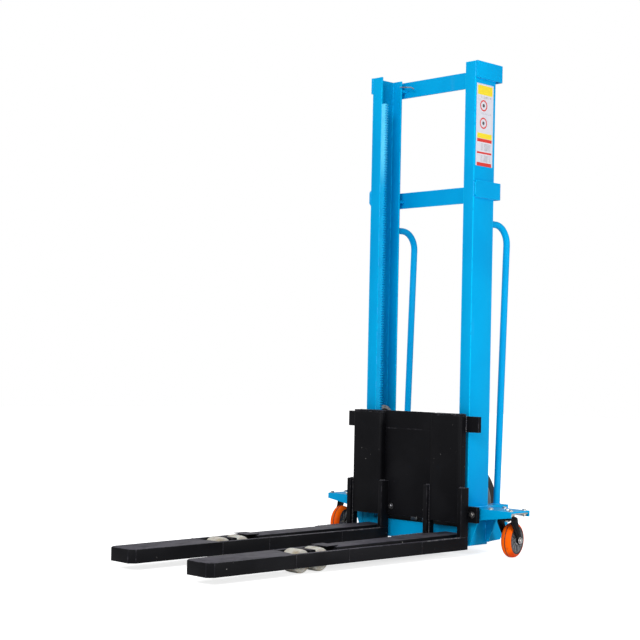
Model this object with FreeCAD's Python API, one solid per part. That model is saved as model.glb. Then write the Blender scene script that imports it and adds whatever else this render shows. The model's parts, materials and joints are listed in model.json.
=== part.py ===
import FreeCAD, Part
import math
import os

# Walkie stacker. Millimetres, +Z up, forks point to -Y, origin on the floor.
# The front face of the mast uprights is the plane Y = 0.

# mast
mast_height = 1790.0
mast_width = 510.0
mast_foot = 32.0
channel_depth = 118.0
channel_flange = 48.0
channel_web = 6.0
flange_thick = 8.0
strap_thick = 8.0
strap_height = 61.0
strap_gap = 28.0
strap_bend = 12.0
middle_strap_z = 1295.0
strap_chamfer = 9.0

# rack and drive
gear_module = 3.0
pinion_teeth = 17
rack_back_width = 19.0
rack_thick = 12.0
rack_bottom = 384.0
rack_top_gap = 100.0
mesh_backlash = 0.35
drive_height = 455.0
shaft_radius = 9.0

# handles
tube_radius = 12.5
tube_wall = 2.0
handle_inset = 25.0
handle_foot_y = 200.0
handle_lean = 34.0
handle_join_z = 1208.0
handle_bend = 70.0

# base
deck_z = 172.0
plate_thick = 8.0
side_plate_length = 228.0
front_plate_top = 98.0
beam_bottom = 120.0
beam_front = 30.0
wing_length = 188.5
wing_width = 110.0
wing_front = -2.0
wing_thick = 6.0
wing_flange_thick = 5.0
wing_flange_inner = 48.5
wing_flange_outer = 21.0
gusset_width = 62.0
gusset_toe = 12.0
side_plate_rise = 9.0

# casters
caster_x = 397.0
caster_y = 50.0
caster_trail = 44.0
right_caster_turn = 11.0
left_caster_turn = 195.0
caster_radius = 62.5
caster_width = 40.0
caster_side_gap = 5.0
caster_plate_x = 110.0
caster_bolt_x = 88.0
caster_bolt_y = 78.0
caster_plate_thick = 5.0
caster_fork_top = 148.0
caster_leg_thick = 4.0
caster_pin_radius = 7.0
bolt_radius = 4.0

# rear wheel
rear_radius = 150.0
rear_width = 60.0
rear_y = 308.0
yoke_thick = 8.0
yoke_gap = 6.0
kingpin_radius = 15.0
bridge_z = 330.0
bridge_thick = 14.0
boss_height = 34.0
bridge_height = 60.0

# support legs and load rollers
fork_centre = 193.0
leg_half = 46.0
leg_top = 77.0
leg_bottom = 32.0
leg_wall = 6.0
leg_end = -651.0
roller_radius = 39.0
roller_width = 60.0
roller_pitch = 85.0
bogie_y = -752.5
cheek_thick = 5.0
axle_radius = 8.0

# carriage and forks
carriage_bottom = 122.0
carriage_top = 501.0
panel_top = 509.0
crossbar_height = 57.0
crossbar_half = 321.0
crossbar_front = -28.0
crossbar_thick = 16.0
panel_thick = 6.0
shank_front = -62.0
shank_half = 72.0
shank_wall = 8.0
shank_bend = 12.0
side_bar_thick = 18.0
side_bar_top = 246.0
side_bar_step = 8.0
fork_top = 70.0
fork_bottom = 25.0
fork_tip = -1212.0
tip_length = 370.0
tip_half = 62.0
tip_rear_half = 67.0
tip_chamfer_x = 17.0
tip_chamfer_y = 20.0
tip_skew = 26.0
carriage_roller_radius = 50.0
carriage_roller_width = 30.0
carriage_roller_low = 236.0
carriage_roller_high = 476.0
stub_radius = 15.0
side_arm_x = 112.0

# power box and controls
box_half = 170.0
box_depth = 80.0
box_height = 190.0
box_wall = 3.0
lid_height = 34.0
control_half = 90.0
control_depth = 60.0
control_height = 80.0
control_hole = 11.0
stop_x = -55.0
raise_x = -8.0
lower_x = 24.0
key_x = 58.0

# clearances
running_gap = 0.05
side_gap = 1.0
play = 2.0

mast_half = mast_width / 2
throat_half = mast_half - channel_flange
side_face = mast_half + strap_thick
shank_rear = crossbar_front
crossbar_rear = crossbar_front + crossbar_thick
box_front = channel_depth - box_depth - strap_thick
# the origin is under the middle of the footprint, so every piece moves back by this much
shift_y = -(fork_tip + rear_y + rear_radius) / 2


def vec(x, y, z):
    return FreeCAD.Vector(x, y, z)


def block(x0, x1, y0, y1, z0, z1):
    return Part.makeBox(x1 - x0, y1 - y0, z1 - z0, vec(x0, y0, z0))


def rod(start, end, radius):
    line = end.sub(start)
    return Part.makeCylinder(radius, line.Length, start, line)


def prism(points, along):
    face = Part.Face(Part.makePolygon(points + [points[0]]))
    return face.extrude(along)


def mirror_x(shape):
    return shape.mirror(vec(0, 0, 0), vec(1, 0, 0))


def group(shapes):
    return Part.makeCompound([s for shape in shapes for s in shape.Solids])


def both_sides(shape):
    return group([shape, mirror_x(shape)])


def fillet_where(shape, radius, wanted):
    edges = [e for e in shape.Edges if wanted(e)]
    return shape.makeFillet(radius, edges)


def is_vertical(edge):
    a = edge.Vertexes[0].Point
    b = edge.Vertexes[-1].Point
    return abs(a.x - b.x) < 0.01 and abs(a.y - b.y) < 0.01


def hex_bar(centre, radius, height, axis):
    turn = FreeCAD.Rotation(vec(0, 0, 1), axis)
    points = []
    for i in range(6):
        angle = math.radians(60 * i + 30)
        corner = vec(radius * math.cos(angle), radius * math.sin(angle), 0)
        points.append(centre.add(turn.multVec(corner)))
    return prism(points, turn.multVec(vec(0, 0, height)))


def ring(radius, bore, start, along):
    outer = Part.makeCylinder(radius, along.Length, start, along)
    return outer.cut(Part.makeCylinder(bore, along.Length, start, along))


# ---- mast ----

def right_upright():
    web = block(mast_half - channel_web, mast_half, 0, channel_depth, mast_foot, mast_height)
    front = block(throat_half, mast_half - channel_web, 0, flange_thick, mast_foot, mast_height)
    rear_y0 = channel_depth - flange_thick
    rear = block(throat_half, mast_half - channel_web, rear_y0, channel_depth, mast_foot, mast_height)
    return web.fuse([front, rear]).removeSplitter()


def strap(bottom, front):
    rear = channel_depth + strap_gap + strap_thick
    outer = block(-side_face, side_face, front, rear, bottom, bottom + strap_height)
    outer = fillet_where(outer, strap_bend, lambda e: is_vertical(e) and e.Vertexes[0].Y > front + 1)
    inner = block(-mast_half, mast_half, front - 1, rear - strap_thick, bottom, bottom + strap_height)
    bend = strap_bend - strap_thick
    inner = fillet_where(inner, bend, lambda e: is_vertical(e) and e.Vertexes[0].Y > front + 1)
    return outer.cut(inner)


def drilled_strap(bottom, front):
    x = mast_half - 30
    z = bottom + strap_height - 12
    rear = channel_depth + strap_gap + strap_thick
    return strap(bottom, front).cut(rod(vec(x, rear - strap_thick - 1, z), vec(x, rear + 1, z), bolt_radius))


def chamfered_strap(bottom, front):
    bent = strap(bottom, front)
    c = strap_chamfer
    top = bottom + strap_height
    for z, dz in ((bottom, c), (top, -c)):
        corner = [vec(-side_face - 1, front, z), vec(-side_face - 1, front + c, z),
                  vec(-side_face - 1, front, z + dz)]
        bent = bent.cut(prism(corner, vec(2 * side_face + 2, 0, 0)))
    return bent


def strap_spacers():
    made = []
    x0 = throat_half + 4
    x1 = mast_half - strap_bend + strap_thick - play
    for bottom in (middle_strap_z, mast_height - strap_height):
        tab = block(x0, x1, channel_depth, channel_depth + strap_gap, bottom + 20, bottom + 30)
        made.append(both_sides(tab))
    return group(made)


def rack_profile(teeth, pitch):
    back = -throat_half
    root = back + rack_back_width
    tip = root + 2.25 * gear_module
    points = [vec(back, 0, rack_bottom), vec(root, 0, rack_bottom)]
    slope = math.tan(math.radians(20)) * 2.25 * gear_module
    root_land = pitch / 2 - 1.25 * gear_module * math.tan(math.radians(20))
    for i in range(teeth):
        z = rack_bottom + i * pitch + root_land / 2
        points.append(vec(root, 0, z))
        points.append(vec(tip, 0, z + slope))
        points.append(vec(tip, 0, z + pitch - root_land - slope))
        points.append(vec(root, 0, z + pitch - root_land))
    top = rack_bottom + teeth * pitch
    points += [vec(root, 0, top), vec(back, 0, top)]
    return points


def rack_strip():
    pitch = math.pi * gear_module
    teeth = int((mast_height - rack_top_gap - rack_bottom) / pitch)
    return prism(rack_profile(teeth, pitch), vec(0, rack_thick, 0))


def tube_along(points, bend, radius, wall):
    edges = []
    start = points[0]
    for before, corner, after in zip(points, points[1:], points[2:]):
        first = before.sub(corner).normalize()
        second = after.sub(corner).normalize()
        half = first.getAngle(second) / 2
        reach = bend / math.tan(half)
        a = corner.add(first * reach)
        b = corner.add(second * reach)
        middle = first.add(second).normalize()
        mid = corner.add(middle * (bend / math.sin(half) - bend))
        edges += [Part.LineSegment(start, a).toShape(), Part.Arc(a, mid, b).toShape()]
        start = b
    edges.append(Part.LineSegment(start, points[-1]).toShape())
    path = Part.Wire(edges)
    heading = points[1].sub(points[0])
    outer = path.makePipeShell([Part.Wire(Part.makeCircle(radius, points[0], heading))], True, False)
    inner = path.makePipeShell([Part.Wire(Part.makeCircle(radius - wall, points[0], heading))], True, False)
    return outer.cut(inner)


def right_handle():
    x = mast_half - handle_inset
    route = [vec(x, handle_foot_y, deck_z - 4), vec(x, handle_foot_y + handle_lean, handle_join_z),
             vec(x, channel_depth, handle_join_z)]
    tube = tube_along(route, handle_bend, tube_radius, tube_wall)
    below = block(x - 30, x + 30, handle_foot_y - 30, handle_foot_y + 30, deck_z - 20, deck_z)
    return tube.cut(below)


# ---- base ----

def front_plate():
    return block(-throat_half, throat_half, 0, plate_thick, mast_foot, front_plate_top)


def cross_beam():
    rear = channel_depth
    top = block(-throat_half, throat_half, beam_front, rear, deck_z - plate_thick, deck_z)
    front = block(-throat_half, throat_half, beam_front, beam_front + plate_thick, beam_bottom,
                  deck_z - plate_thick)
    back = block(-throat_half, throat_half, rear - plate_thick, rear, beam_bottom,
                 deck_z - plate_thick)
    return group([top, front, back])


def right_side_plate():
    length = side_plate_length
    low = mast_foot + 4
    points = [vec(mast_half, 0, low), vec(mast_half, length - 45, low + side_plate_rise),
              vec(mast_half, length, low + 60), vec(mast_half, length, deck_z),
              vec(mast_half, 0, deck_z)]
    return prism(points, vec(strap_thick, 0, 0))


def handle_feet():
    inner = mast_half - 2 * handle_inset - 6
    shelf = block(inner, mast_half, channel_depth, side_plate_length, deck_z - wing_thick, deck_z)
    return both_sides(shelf)


def bolt_places():
    for sx in (-1, 1):
        for sy in (-1, 1):
            yield caster_x + sx * caster_bolt_x / 2, caster_y + sy * caster_bolt_y / 2


def drill_caster_bolts(shape, z0, z1):
    for x, y in bolt_places():
        shape = shape.cut(rod(vec(x, y, z0), vec(x, y, z1), bolt_radius + running_gap))
    return shape


def right_wing():
    x0 = side_face
    x1 = side_face + wing_length
    y0 = wing_front
    y1 = wing_front + wing_width
    top = block(x0, x1, y0, y1, deck_z - wing_thick, deck_z)
    under = deck_z - wing_thick
    front = prism([vec(x0, y0, deck_z - wing_flange_inner), vec(x1, y0, deck_z - wing_flange_outer),
                   vec(x1, y0, under), vec(x0, y0, under)], vec(0, wing_flange_thick, 0))
    rear = block(x0, x1, y1 - wing_flange_thick, y1, deck_z - wing_flange_outer, under)
    wing = top.fuse([front, rear]).removeSplitter()
    return drill_caster_bolts(wing, under - 1, deck_z + 1)


def wing_gussets():
    x = side_face
    low = mast_foot + 5
    # the front one carries on down from the lower edge of the wing's front flange
    edge = deck_z - wing_flange_inner
    slope = (wing_flange_inner - wing_flange_outer) / wing_length
    reach = gusset_width * 0.72
    front = prism([vec(x, wing_front, low), vec(x + gusset_toe / 2, wing_front, low),
                   vec(x + reach, wing_front, edge + slope * reach), vec(x, wing_front, edge)],
                  vec(0, wing_flange_thick, 0))
    y = wing_front + wing_width - wing_flange_thick - wing_thick
    under = deck_z - wing_thick
    rear = prism([vec(x, y, low + 6), vec(x + gusset_toe, y, low + 6),
                  vec(x + gusset_width, y, under), vec(x, y, under)], vec(0, wing_thick, 0))
    return both_sides(group([front, rear]))


def caster_bolts():
    under = deck_z - wing_thick - caster_plate_thick
    made = []
    for x, y in bolt_places():
        shank = rod(vec(x, y, under - 9), vec(x, y, deck_z), bolt_radius)
        head = hex_bar(vec(x, y, deck_z), 7.5, 5.5, vec(0, 0, 1))
        nut = hex_bar(vec(x, y, under - 6.5), 7.5, 6.5, vec(0, 0, 1))
        made.append(shank.fuse([head, nut]))
    return both_sides(group(made))


# ---- casters (drawn about their own swivel axis, trailing to +Y, then turned and placed) ----

def caster_plate():
    z1 = deck_z - wing_thick
    z0 = z1 - caster_plate_thick
    half_x = caster_plate_x / 2
    half_y = caster_bolt_y / 2 + 7
    plate = block(caster_x - half_x, caster_x + half_x, caster_y - half_y, caster_y + half_y, z0, z1)
    plate = drill_caster_bolts(plate, z0 - 1, z1 + 1)
    race = rod(vec(caster_x, caster_y, caster_fork_top + 4.5), vec(caster_x, caster_y, z0), 26)
    pin = rod(vec(caster_x, caster_y, caster_fork_top - 18), vec(caster_x, caster_y, z0),
              caster_pin_radius)
    nut = hex_bar(vec(caster_x, caster_y, caster_fork_top - 16), 11, 8, vec(0, 0, 1))
    return plate.fuse([race, pin, nut]).removeSplitter()


def caster_leg(x0):
    t = caster_fork_top
    trail = caster_trail
    outline = [(-20, t - 4), (-22, t - 18), (trail - 14, caster_radius - 12),
               (trail + 14, caster_radius - 12), (trail + 14, caster_radius + 8),
               (30, t - 26), (24, t - 4)]
    points = [vec(x0, y, z) for y, z in outline]
    return prism(points, vec(caster_leg_thick, 0, 0))


def caster_fork():
    t = caster_fork_top
    inner = caster_width / 2 + caster_side_gap
    crown = rod(vec(0, 0, t - 4), vec(0, 0, t), 36)
    race = rod(vec(0, 0, t), vec(0, 0, t + 4), 24)
    legs = [caster_leg(inner), caster_leg(-inner - caster_leg_thick)]
    fork = crown.fuse([race] + legs).removeSplitter()
    bore = rod(vec(0, 0, t - 6), vec(0, 0, t + 6), caster_pin_radius + running_gap)
    axle = rod(vec(-40, caster_trail, caster_radius), vec(40, caster_trail, caster_radius), 6)
    return fork.cut(bore).cut(axle)


def caster_axle():
    outer = caster_width / 2 + caster_side_gap + caster_leg_thick
    shank = rod(vec(-outer - 9, caster_trail, caster_radius), vec(outer, caster_trail, caster_radius), 6)
    head = hex_bar(vec(outer, caster_trail, caster_radius), 10.5, 7, vec(1, 0, 0))
    nut = hex_bar(vec(-outer - 8, caster_trail, caster_radius), 10.5, 8, vec(1, 0, 0))
    return shank.fuse([head, nut])


def caster_hub():
    a = vec(-caster_width / 2, caster_trail, caster_radius)
    body = ring(caster_radius - 12, 6 + running_gap, a, vec(caster_width, 0, 0))
    dish = ring(caster_radius - 20, 15, a, vec(6, 0, 0))
    far = dish.copy()
    far.translate(vec(caster_width - 6, 0, 0))
    return body.cut(dish).cut(far)


def caster_tyre():
    a = vec(-caster_width / 2, caster_trail, caster_radius)
    tyre = ring(caster_radius, caster_radius - 12, a, vec(caster_width, 0, 0))
    return fillet_where(tyre, 8, lambda e: e.Length > 2 * math.pi * (caster_radius - 1)
                        and len(e.Vertexes) == 1)


def placed_caster(shape, side, turn):
    placed = shape.copy()
    placed.rotate(vec(0, 0, 0), vec(0, 0, 1), turn)
    placed.translate(vec(side * caster_x, caster_y, 0))
    return placed


# ---- rear wheel ----

def bridge_beam():
    low = bridge_z
    top = bridge_z + bridge_height
    front = channel_depth - flange_thick
    rear = channel_depth + 30
    wall = plate_thick
    made = [block(-throat_half, throat_half, front, rear, low, low + wall),
            block(-throat_half, throat_half, front, rear, top - wall, top),
            block(-throat_half, throat_half, rear - wall, rear, low + wall, top - wall)]
    for x in (-throat_half, throat_half - wall):
        made.append(block(x, x + wall, front, rear - wall, low + wall, top - wall))
    return group(made)


def bridge_arm():
    top = bridge_z + bridge_thick
    rear = channel_depth + 30
    arm = block(-55, 55, rear, rear_y, bridge_z, top)
    nose = rod(vec(0, rear_y, bridge_z), vec(0, rear_y, top), 55)
    boss = rod(vec(0, rear_y, top), vec(0, rear_y, bridge_z + boss_height), 28)
    arm = arm.fuse([nose, boss]).removeSplitter()
    bore = rod(vec(0, rear_y, bridge_z - 1), vec(0, rear_y, bridge_z + boss_height + 1),
               kingpin_radius + running_gap)
    made = [arm.cut(bore)]
    for x in (-46, 40):
        points = [vec(x, rear, top), vec(x, rear_y - 34, top), vec(x, rear, bridge_z + bridge_height)]
        made.append(prism(points, vec(6, 0, 0)))
    return group(made)


def bridge_ears():
    ear = block(throat_half, throat_half + 20, channel_depth, channel_depth + 30, bridge_z,
                bridge_z + bridge_height)
    return both_sides(ear)


def rear_yoke():
    inner = rear_width / 2 + yoke_gap
    outer = inner + yoke_thick
    crown_z = bridge_z - play - 10
    crown = block(-outer, outer, rear_y - 46, rear_y + 46, crown_z, crown_z + 10)
    plates = []
    for x in (-outer, inner):
        points = [vec(x, rear_y - 46, crown_z), vec(x, rear_y + 46, crown_z),
                  vec(x, rear_y + 24, rear_radius - 24), vec(x, rear_y - 24, rear_radius - 24)]
        plates.append(prism(points, vec(yoke_thick, 0, 0)))
    yoke = crown.fuse(plates).removeSplitter()
    return yoke.cut(rod(vec(-outer - 1, rear_y, rear_radius), vec(outer + 1, rear_y, rear_radius), 12))


def kingpin():
    base = bridge_z - play
    top = bridge_z + boss_height + 1
    pin = rod(vec(0, rear_y, base), vec(0, rear_y, top + 10), kingpin_radius)
    nut = hex_bar(vec(0, rear_y, top), 24, 12, vec(0, 0, 1))
    return pin.fuse(nut)


def rear_axle():
    outer = rear_width / 2 + yoke_gap + yoke_thick
    shank = rod(vec(-outer, rear_y, rear_radius), vec(outer, rear_y, rear_radius), 12)
    caps = [hex_bar(vec(-outer - 12, rear_y, rear_radius), 20, 12, vec(1, 0, 0)),
            hex_bar(vec(outer, rear_y, rear_radius), 20, 12, vec(1, 0, 0))]
    return shank.fuse(caps)


def rear_rim():
    half = rear_width / 2
    a = vec(-half, rear_y, rear_radius)
    body = ring(rear_radius - 38, 12 + running_gap, a, vec(rear_width, 0, 0))
    dish = ring(rear_radius - 52, 34, a, vec(16, 0, 0))
    far = dish.copy()
    far.translate(vec(rear_width - 16, 0, 0))
    return body.cut(dish).cut(far)


def rear_tyre():
    a = vec(-rear_width / 2, rear_y, rear_radius)
    tyre = ring(rear_radius, rear_radius - 38, a, vec(rear_width, 0, 0))
    return fillet_where(tyre, 14, lambda e: e.Length > 2 * math.pi * (rear_radius - 1)
                        and len(e.Vertexes) == 1)


# ---- support legs and load rollers (right side) ----

def right_leg():
    x0 = fork_centre - leg_half
    x1 = fork_centre + leg_half
    under = leg_top - leg_wall
    made = [block(x0, x1, leg_end, 0, under, leg_top)]
    for x in (x0, x1 - leg_wall):
        made.append(block(x, x + leg_wall, leg_end, 0, leg_bottom, under))
        made.append(block(x, x + leg_wall, bogie_y - 26, leg_end, leg_bottom - 10, under - 10))
    for y0, y1, low in ((-plate_thick, 0, leg_bottom), (leg_end, leg_end + leg_wall, leg_bottom - 10)):
        made.append(block(x0 + leg_wall, x1 - leg_wall, y0, y1, low, under))
    for side in (-1, 1):
        a = vec(fork_centre + side * (leg_half - leg_wall), bogie_y, roller_radius - 1)
        b = vec(fork_centre + side * (roller_width / 2 + 1), bogie_y, roller_radius - 1)
        made.append(rod(a, b, axle_radius))
    return group(made)


def cheek_offset():
    return roller_width / 2 + play


def right_bogie():
    made = []
    half = roller_pitch / 2
    for x in (fork_centre - cheek_offset() - cheek_thick, fork_centre + cheek_offset()):
        plate = block(x, x + cheek_thick, bogie_y - half, bogie_y + half, roller_radius - 19,
                      roller_radius + 19)
        for y in (bogie_y - half, bogie_y + half):
            plate = plate.fuse(rod(vec(x, y, roller_radius), vec(x + cheek_thick, y, roller_radius), 19))
            plate = plate.removeSplitter()
        for y in (bogie_y - half, bogie_y + half):
            plate = plate.cut(rod(vec(x - 1, y, roller_radius), vec(x + 9, y, roller_radius),
                                  axle_radius))
        plate = plate.cut(rod(vec(x - 1, bogie_y, roller_radius - 1), vec(x + 9, bogie_y, roller_radius - 1),
                              axle_radius + running_gap))
        made.append(plate)
    return group(made)


def right_roller_axles():
    reach = cheek_offset() + cheek_thick
    made = []
    for y in (bogie_y - roller_pitch / 2, bogie_y + roller_pitch / 2):
        made.append(rod(vec(fork_centre - reach, y, roller_radius),
                        vec(fork_centre + reach, y, roller_radius), axle_radius))
    return group(made)


def load_roller(y):
    a = vec(fork_centre - roller_width / 2, y, roller_radius)
    roller = ring(roller_radius, axle_radius + running_gap, a, vec(roller_width, 0, 0))
    return fillet_where(roller, 4, lambda e: e.Length > 2 * math.pi * (roller_radius - 1)
                        and len(e.Vertexes) == 1)


# ---- carriage ----

def crossbars():
    made = []
    for z in (carriage_bottom, carriage_top - crossbar_height):
        made.append(block(-crossbar_half, crossbar_half, crossbar_front, crossbar_rear,
                          z, z + crossbar_height))
    return group(made)


def backrest():
    inner = fork_centre - shank_half
    front = crossbar_front - panel_thick
    plate = block(-inner, inner, front, crossbar_front, carriage_bottom - 2, panel_top)
    notch = block(inner - side_bar_thick, inner, front, crossbar_front, carriage_bottom - 2, side_bar_top)
    plate = plate.cut(both_sides(notch))
    groove = block(-inner - 1, inner + 1, crossbar_front - 7, crossbar_front - 4.5,
                   carriage_top - crossbar_height - 1, carriage_top - crossbar_height + 1)
    return plate.cut(groove)


def right_shank():
    x0 = fork_centre - shank_half
    x1 = fork_centre + shank_half
    outer = block(x0, x1, shank_front, shank_rear, carriage_bottom - 2, panel_top)
    outer = fillet_where(outer, shank_bend, lambda e: is_vertical(e) and e.Vertexes[0].Y < shank_front + 1)
    hollow = block(x0 + shank_wall, x1 - shank_wall, shank_front + shank_wall, shank_rear + 1,
                   carriage_bottom - 3, panel_top - 6)
    return outer.cut(hollow)


def right_side_bars():
    made = []
    for x in (fork_centre - shank_half - side_bar_thick, fork_centre + shank_half):
        made.append(block(x, x + side_bar_thick, shank_front - side_bar_step, shank_rear,
                          fork_top, side_bar_top))
    return group(made)


def rail(side):
    heel_in = shank_half
    heel_out = shank_half + side_bar_thick
    front_y = shank_front - side_bar_step
    tip_in = tip_rear_half - side_bar_thick
    rear = fork_tip + tip_length
    # the bar ends along the slanting rear edge of the tip
    end_out = rear - side * tip_skew / 2
    end_in = rear - side * tip_skew / 2 * tip_in / tip_rear_half
    heel = [(heel_in, shank_rear), (heel_out, shank_rear), (heel_out, front_y), (heel_in, front_y)]
    bar = [(heel_in, front_y), (heel_out, front_y), (tip_rear_half, end_out), (tip_in, end_in)]
    made = []
    for plan in (heel, bar):
        points = [vec(fork_centre + side * x, y, fork_bottom) for x, y in plan]
        made.append(prism(points, vec(0, 0, fork_top - fork_bottom)))
    return group(made)


def tip_plan(inset, z):
    rear = fork_tip + tip_length
    skew = tip_skew / 2
    w = tip_rear_half
    plan = [(-w + inset, rear + skew - inset), (w - inset, rear - skew - inset),
            (tip_half - inset, fork_tip + tip_chamfer_y + inset / 2),
            (tip_half - tip_chamfer_x - inset / 2, fork_tip + inset),
            (-tip_half + tip_chamfer_x + inset / 2, fork_tip + inset),
            (-tip_half + inset, fork_tip + tip_chamfer_y + inset / 2)]
    return [vec(fork_centre + x, y, z) for x, y in plan]


def right_blade():
    under = fork_top - shank_wall
    made = [prism(tip_plan(0, under), vec(0, 0, shank_wall)), rail(-1), rail(1)]
    outer = tip_plan(0, fork_bottom)
    inner = tip_plan(shank_wall, fork_bottom)
    for i in range(6):
        k = (i + 1) % 6
        made.append(prism([outer[i], outer[k], inner[k], inner[i]], vec(0, 0, under - fork_bottom)))
    return group(made)


def roller_bracket(side):
    arm = block(side_arm_x, side_arm_x + 8, crossbar_rear, rack_thick + play, carriage_bottom + 2,
                carriage_top)
    y0 = rack_thick + play
    cross = block(side_arm_x, throat_half - 2, y0, y0 + 8, carriage_bottom + 2, drive_height - 48)
    plate = block(throat_half - 10, throat_half - 2, y0 + 8, channel_depth - 14, deck_z + 14,
                  carriage_roller_high + 26)
    parts = [cross, plate]
    x_end = mast_half - channel_web - side_gap
    for z in (carriage_roller_low, carriage_roller_high):
        parts.append(rod(vec(throat_half - 2, channel_depth / 2, z), vec(x_end, channel_depth / 2, z),
                         stub_radius))
    bracket = group([arm] + parts)
    return bracket if side > 0 else mirror_x(bracket)


def carriage_roller(z):
    x1 = mast_half - channel_web - 2 * side_gap - 2
    x0 = x1 - carriage_roller_width
    a = vec(x0, channel_depth / 2, z)
    roller = ring(carriage_roller_radius, stub_radius + running_gap, a, vec(x1 - x0, 0, 0))
    return fillet_where(roller, 2, lambda e: e.Length > 2 * math.pi * (carriage_roller_radius - 1)
                        and len(e.Vertexes) == 1)


def pinion_axis_x():
    pitch_line = -throat_half + rack_back_width + 1.25 * gear_module
    return pitch_line + pinion_teeth * gear_module / 2 + mesh_backlash


def pinion_turn():
    # a tooth gap faces the rack tooth nearest the drive height
    pitch = math.pi * gear_module
    steps = (drive_height - rack_bottom) / pitch
    return (steps - math.floor(steps) - 0.5) * 2 * math.pi / pinion_teeth


def pinion():
    n = pinion_teeth
    pitch_r = n * gear_module / 2
    root_r = pitch_r - 1.25 * gear_module
    tip_r = pitch_r + gear_module
    centre = vec(pinion_axis_x(), 0, drive_height)
    points = []
    step = 2 * math.pi / n
    for i in range(n):
        start = math.pi + step * (i + 0.5) + pinion_turn()
        for r, half in ((root_r, 0.29), (tip_r, 0.10), (tip_r, -0.10), (root_r, -0.29)):
            a = start - half * step
            points.append(vec(centre.x + r * math.cos(a), 0, centre.z + r * math.sin(a)))
    gear = prism(points, vec(0, rack_thick, 0))
    shaft = rod(vec(centre.x, rack_thick, centre.z), vec(centre.x, rack_thick + 50, centre.z),
                shaft_radius)
    return gear.fuse(shaft).removeSplitter()


def gearbox():
    y0 = rack_thick + play
    x0 = pinion_axis_x() - 31
    body = block(x0, x0 + 108, y0, y0 + 60, drive_height - 40, drive_height + 40)
    body = fillet_where(body, 8, lambda e: abs(e.Vertexes[0].Y - y0 - 60) < 0.01
                        and abs(e.Vertexes[-1].Y - y0 - 60) < 0.01)
    bore = rod(vec(pinion_axis_x(), y0 - 1, drive_height), vec(pinion_axis_x(), y0 + 49, drive_height),
               shaft_radius + running_gap)
    return body.cut(bore)


def motor_start():
    return pinion_axis_x() - 31 + 108


def lift_motor():
    y = rack_thick + play + 30
    a = vec(motor_start(), y, drive_height)
    flange = rod(a, vec(a.x + 8, y, drive_height), 38)
    can = rod(vec(a.x + 8, y, drive_height), vec(a.x + 150, y, drive_height), 34)
    cap = rod(vec(a.x + 150, y, drive_height), vec(a.x + 166, y, drive_height), 26)
    return flange.fuse([can, cap]).removeSplitter()


def drive_bracket():
    y1 = rack_thick + play
    x0 = -side_arm_x
    x1 = motor_start() - play
    plate = block(x0, x1, y1 - 8, y1, drive_height - 38, drive_height + 38)
    rib = block(x1 - 8, x1, crossbar_rear, y1 - 8, carriage_top - crossbar_height + 4,
                drive_height + 38)
    return group([plate, rib])


def fork_bolts():
    made = []
    z = carriage_bottom + 29
    reach = shank_half + side_bar_thick + 17
    seats = ((fork_centre - reach, crossbar_front - panel_thick), (fork_centre + reach, crossbar_front))
    for x, seat in seats:
        made.append(hex_bar(vec(x, seat - 10, z), 13.5, 10, vec(0, 1, 0)))
    return both_sides(group(made))


# ---- power box and controls ----

def hollow_box(x0, x1, y0, y1, z0, z1, wall, open_z):
    low = z0 if open_z < 0 else z0 + wall
    high = z1 if open_z > 0 else z1 - wall
    made = [block(x0, x1, y1 - wall, y1, low, high),
            block(x0, x1, y0, y0 + wall, low, high),
            block(x0, x0 + wall, y0 + wall, y1 - wall, low, high),
            block(x1 - wall, x1, y0 + wall, y1 - wall, low, high)]
    if low > z0:
        made.append(block(x0, x1, y0, y1, z0, low))
    if high < z1:
        made.append(block(x0, x1, y0, y1, high, z1))
    return made


def power_box():
    return group(hollow_box(-box_half, box_half, box_front, box_front + box_depth,
                            deck_z, deck_z + box_height, box_wall, 1))


def power_box_lid():
    z = deck_z + box_height
    return group(hollow_box(-box_half, box_half, box_front, box_front + box_depth,
                            z, z + lid_height, box_wall, -1))


def batteries():
    made = []
    for x in (-145, 10):
        made.append(block(x, x + 135, box_front + 6, box_front + 66, deck_z + box_wall, deck_z + 140))
    return group(made)


def control_face():
    return channel_depth - play - box_wall + control_depth


def control_z():
    return bridge_z + bridge_height + control_height / 2


def control_box():
    y1 = control_face()
    z0 = bridge_z + bridge_height
    front, *rest = hollow_box(-control_half, control_half, y1 - control_depth, y1,
                              z0, z0 + control_height, box_wall, 0)
    for x in (stop_x, raise_x, lower_x, key_x):
        hole = rod(vec(x, y1 - box_wall - 1, control_z()), vec(x, y1 + 1, control_z()), control_hole)
        front = front.cut(hole)
    collar = ring(control_hole + 5, control_hole + running_gap, vec(stop_x, y1, control_z()), vec(0, 6, 0))
    return group([front, collar] + rest)


def key_switch():
    y = control_face()
    z = control_z()
    body = rod(vec(key_x, y - 20, z), vec(key_x, y + 1, z), control_hole - running_gap)
    face = rod(vec(key_x, y + 0.3, z), vec(key_x, y + 4, z), control_hole + 3)
    bow = block(key_x - 2, key_x + 2, y + 4, y + 22, z - 12, z + 6)
    return body.fuse([face, bow]).removeSplitter()


def emergency_stop():
    y = control_face()
    z = control_z()
    stem = rod(vec(stop_x, y - 16, z), vec(stop_x, y + 12, z), control_hole - running_gap)
    head = rod(vec(stop_x, y + 12, z), vec(stop_x, y + 22, z), control_hole + 9)
    head = head.makeFillet(3, [e for e in head.Edges if abs(e.Vertexes[0].Y - y - 22) < 0.01
                               and len(e.Vertexes) == 1])
    return stem.fuse(head).removeSplitter()


def push_button(x):
    y = control_face()
    return rod(vec(x, y - 12, control_z()), vec(x, y + 6, control_z()), control_hole - running_gap)


def warning_panel():
    x = mast_half
    return block(x, x + 0.8, 8, 104, 1410, 1710)


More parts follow.
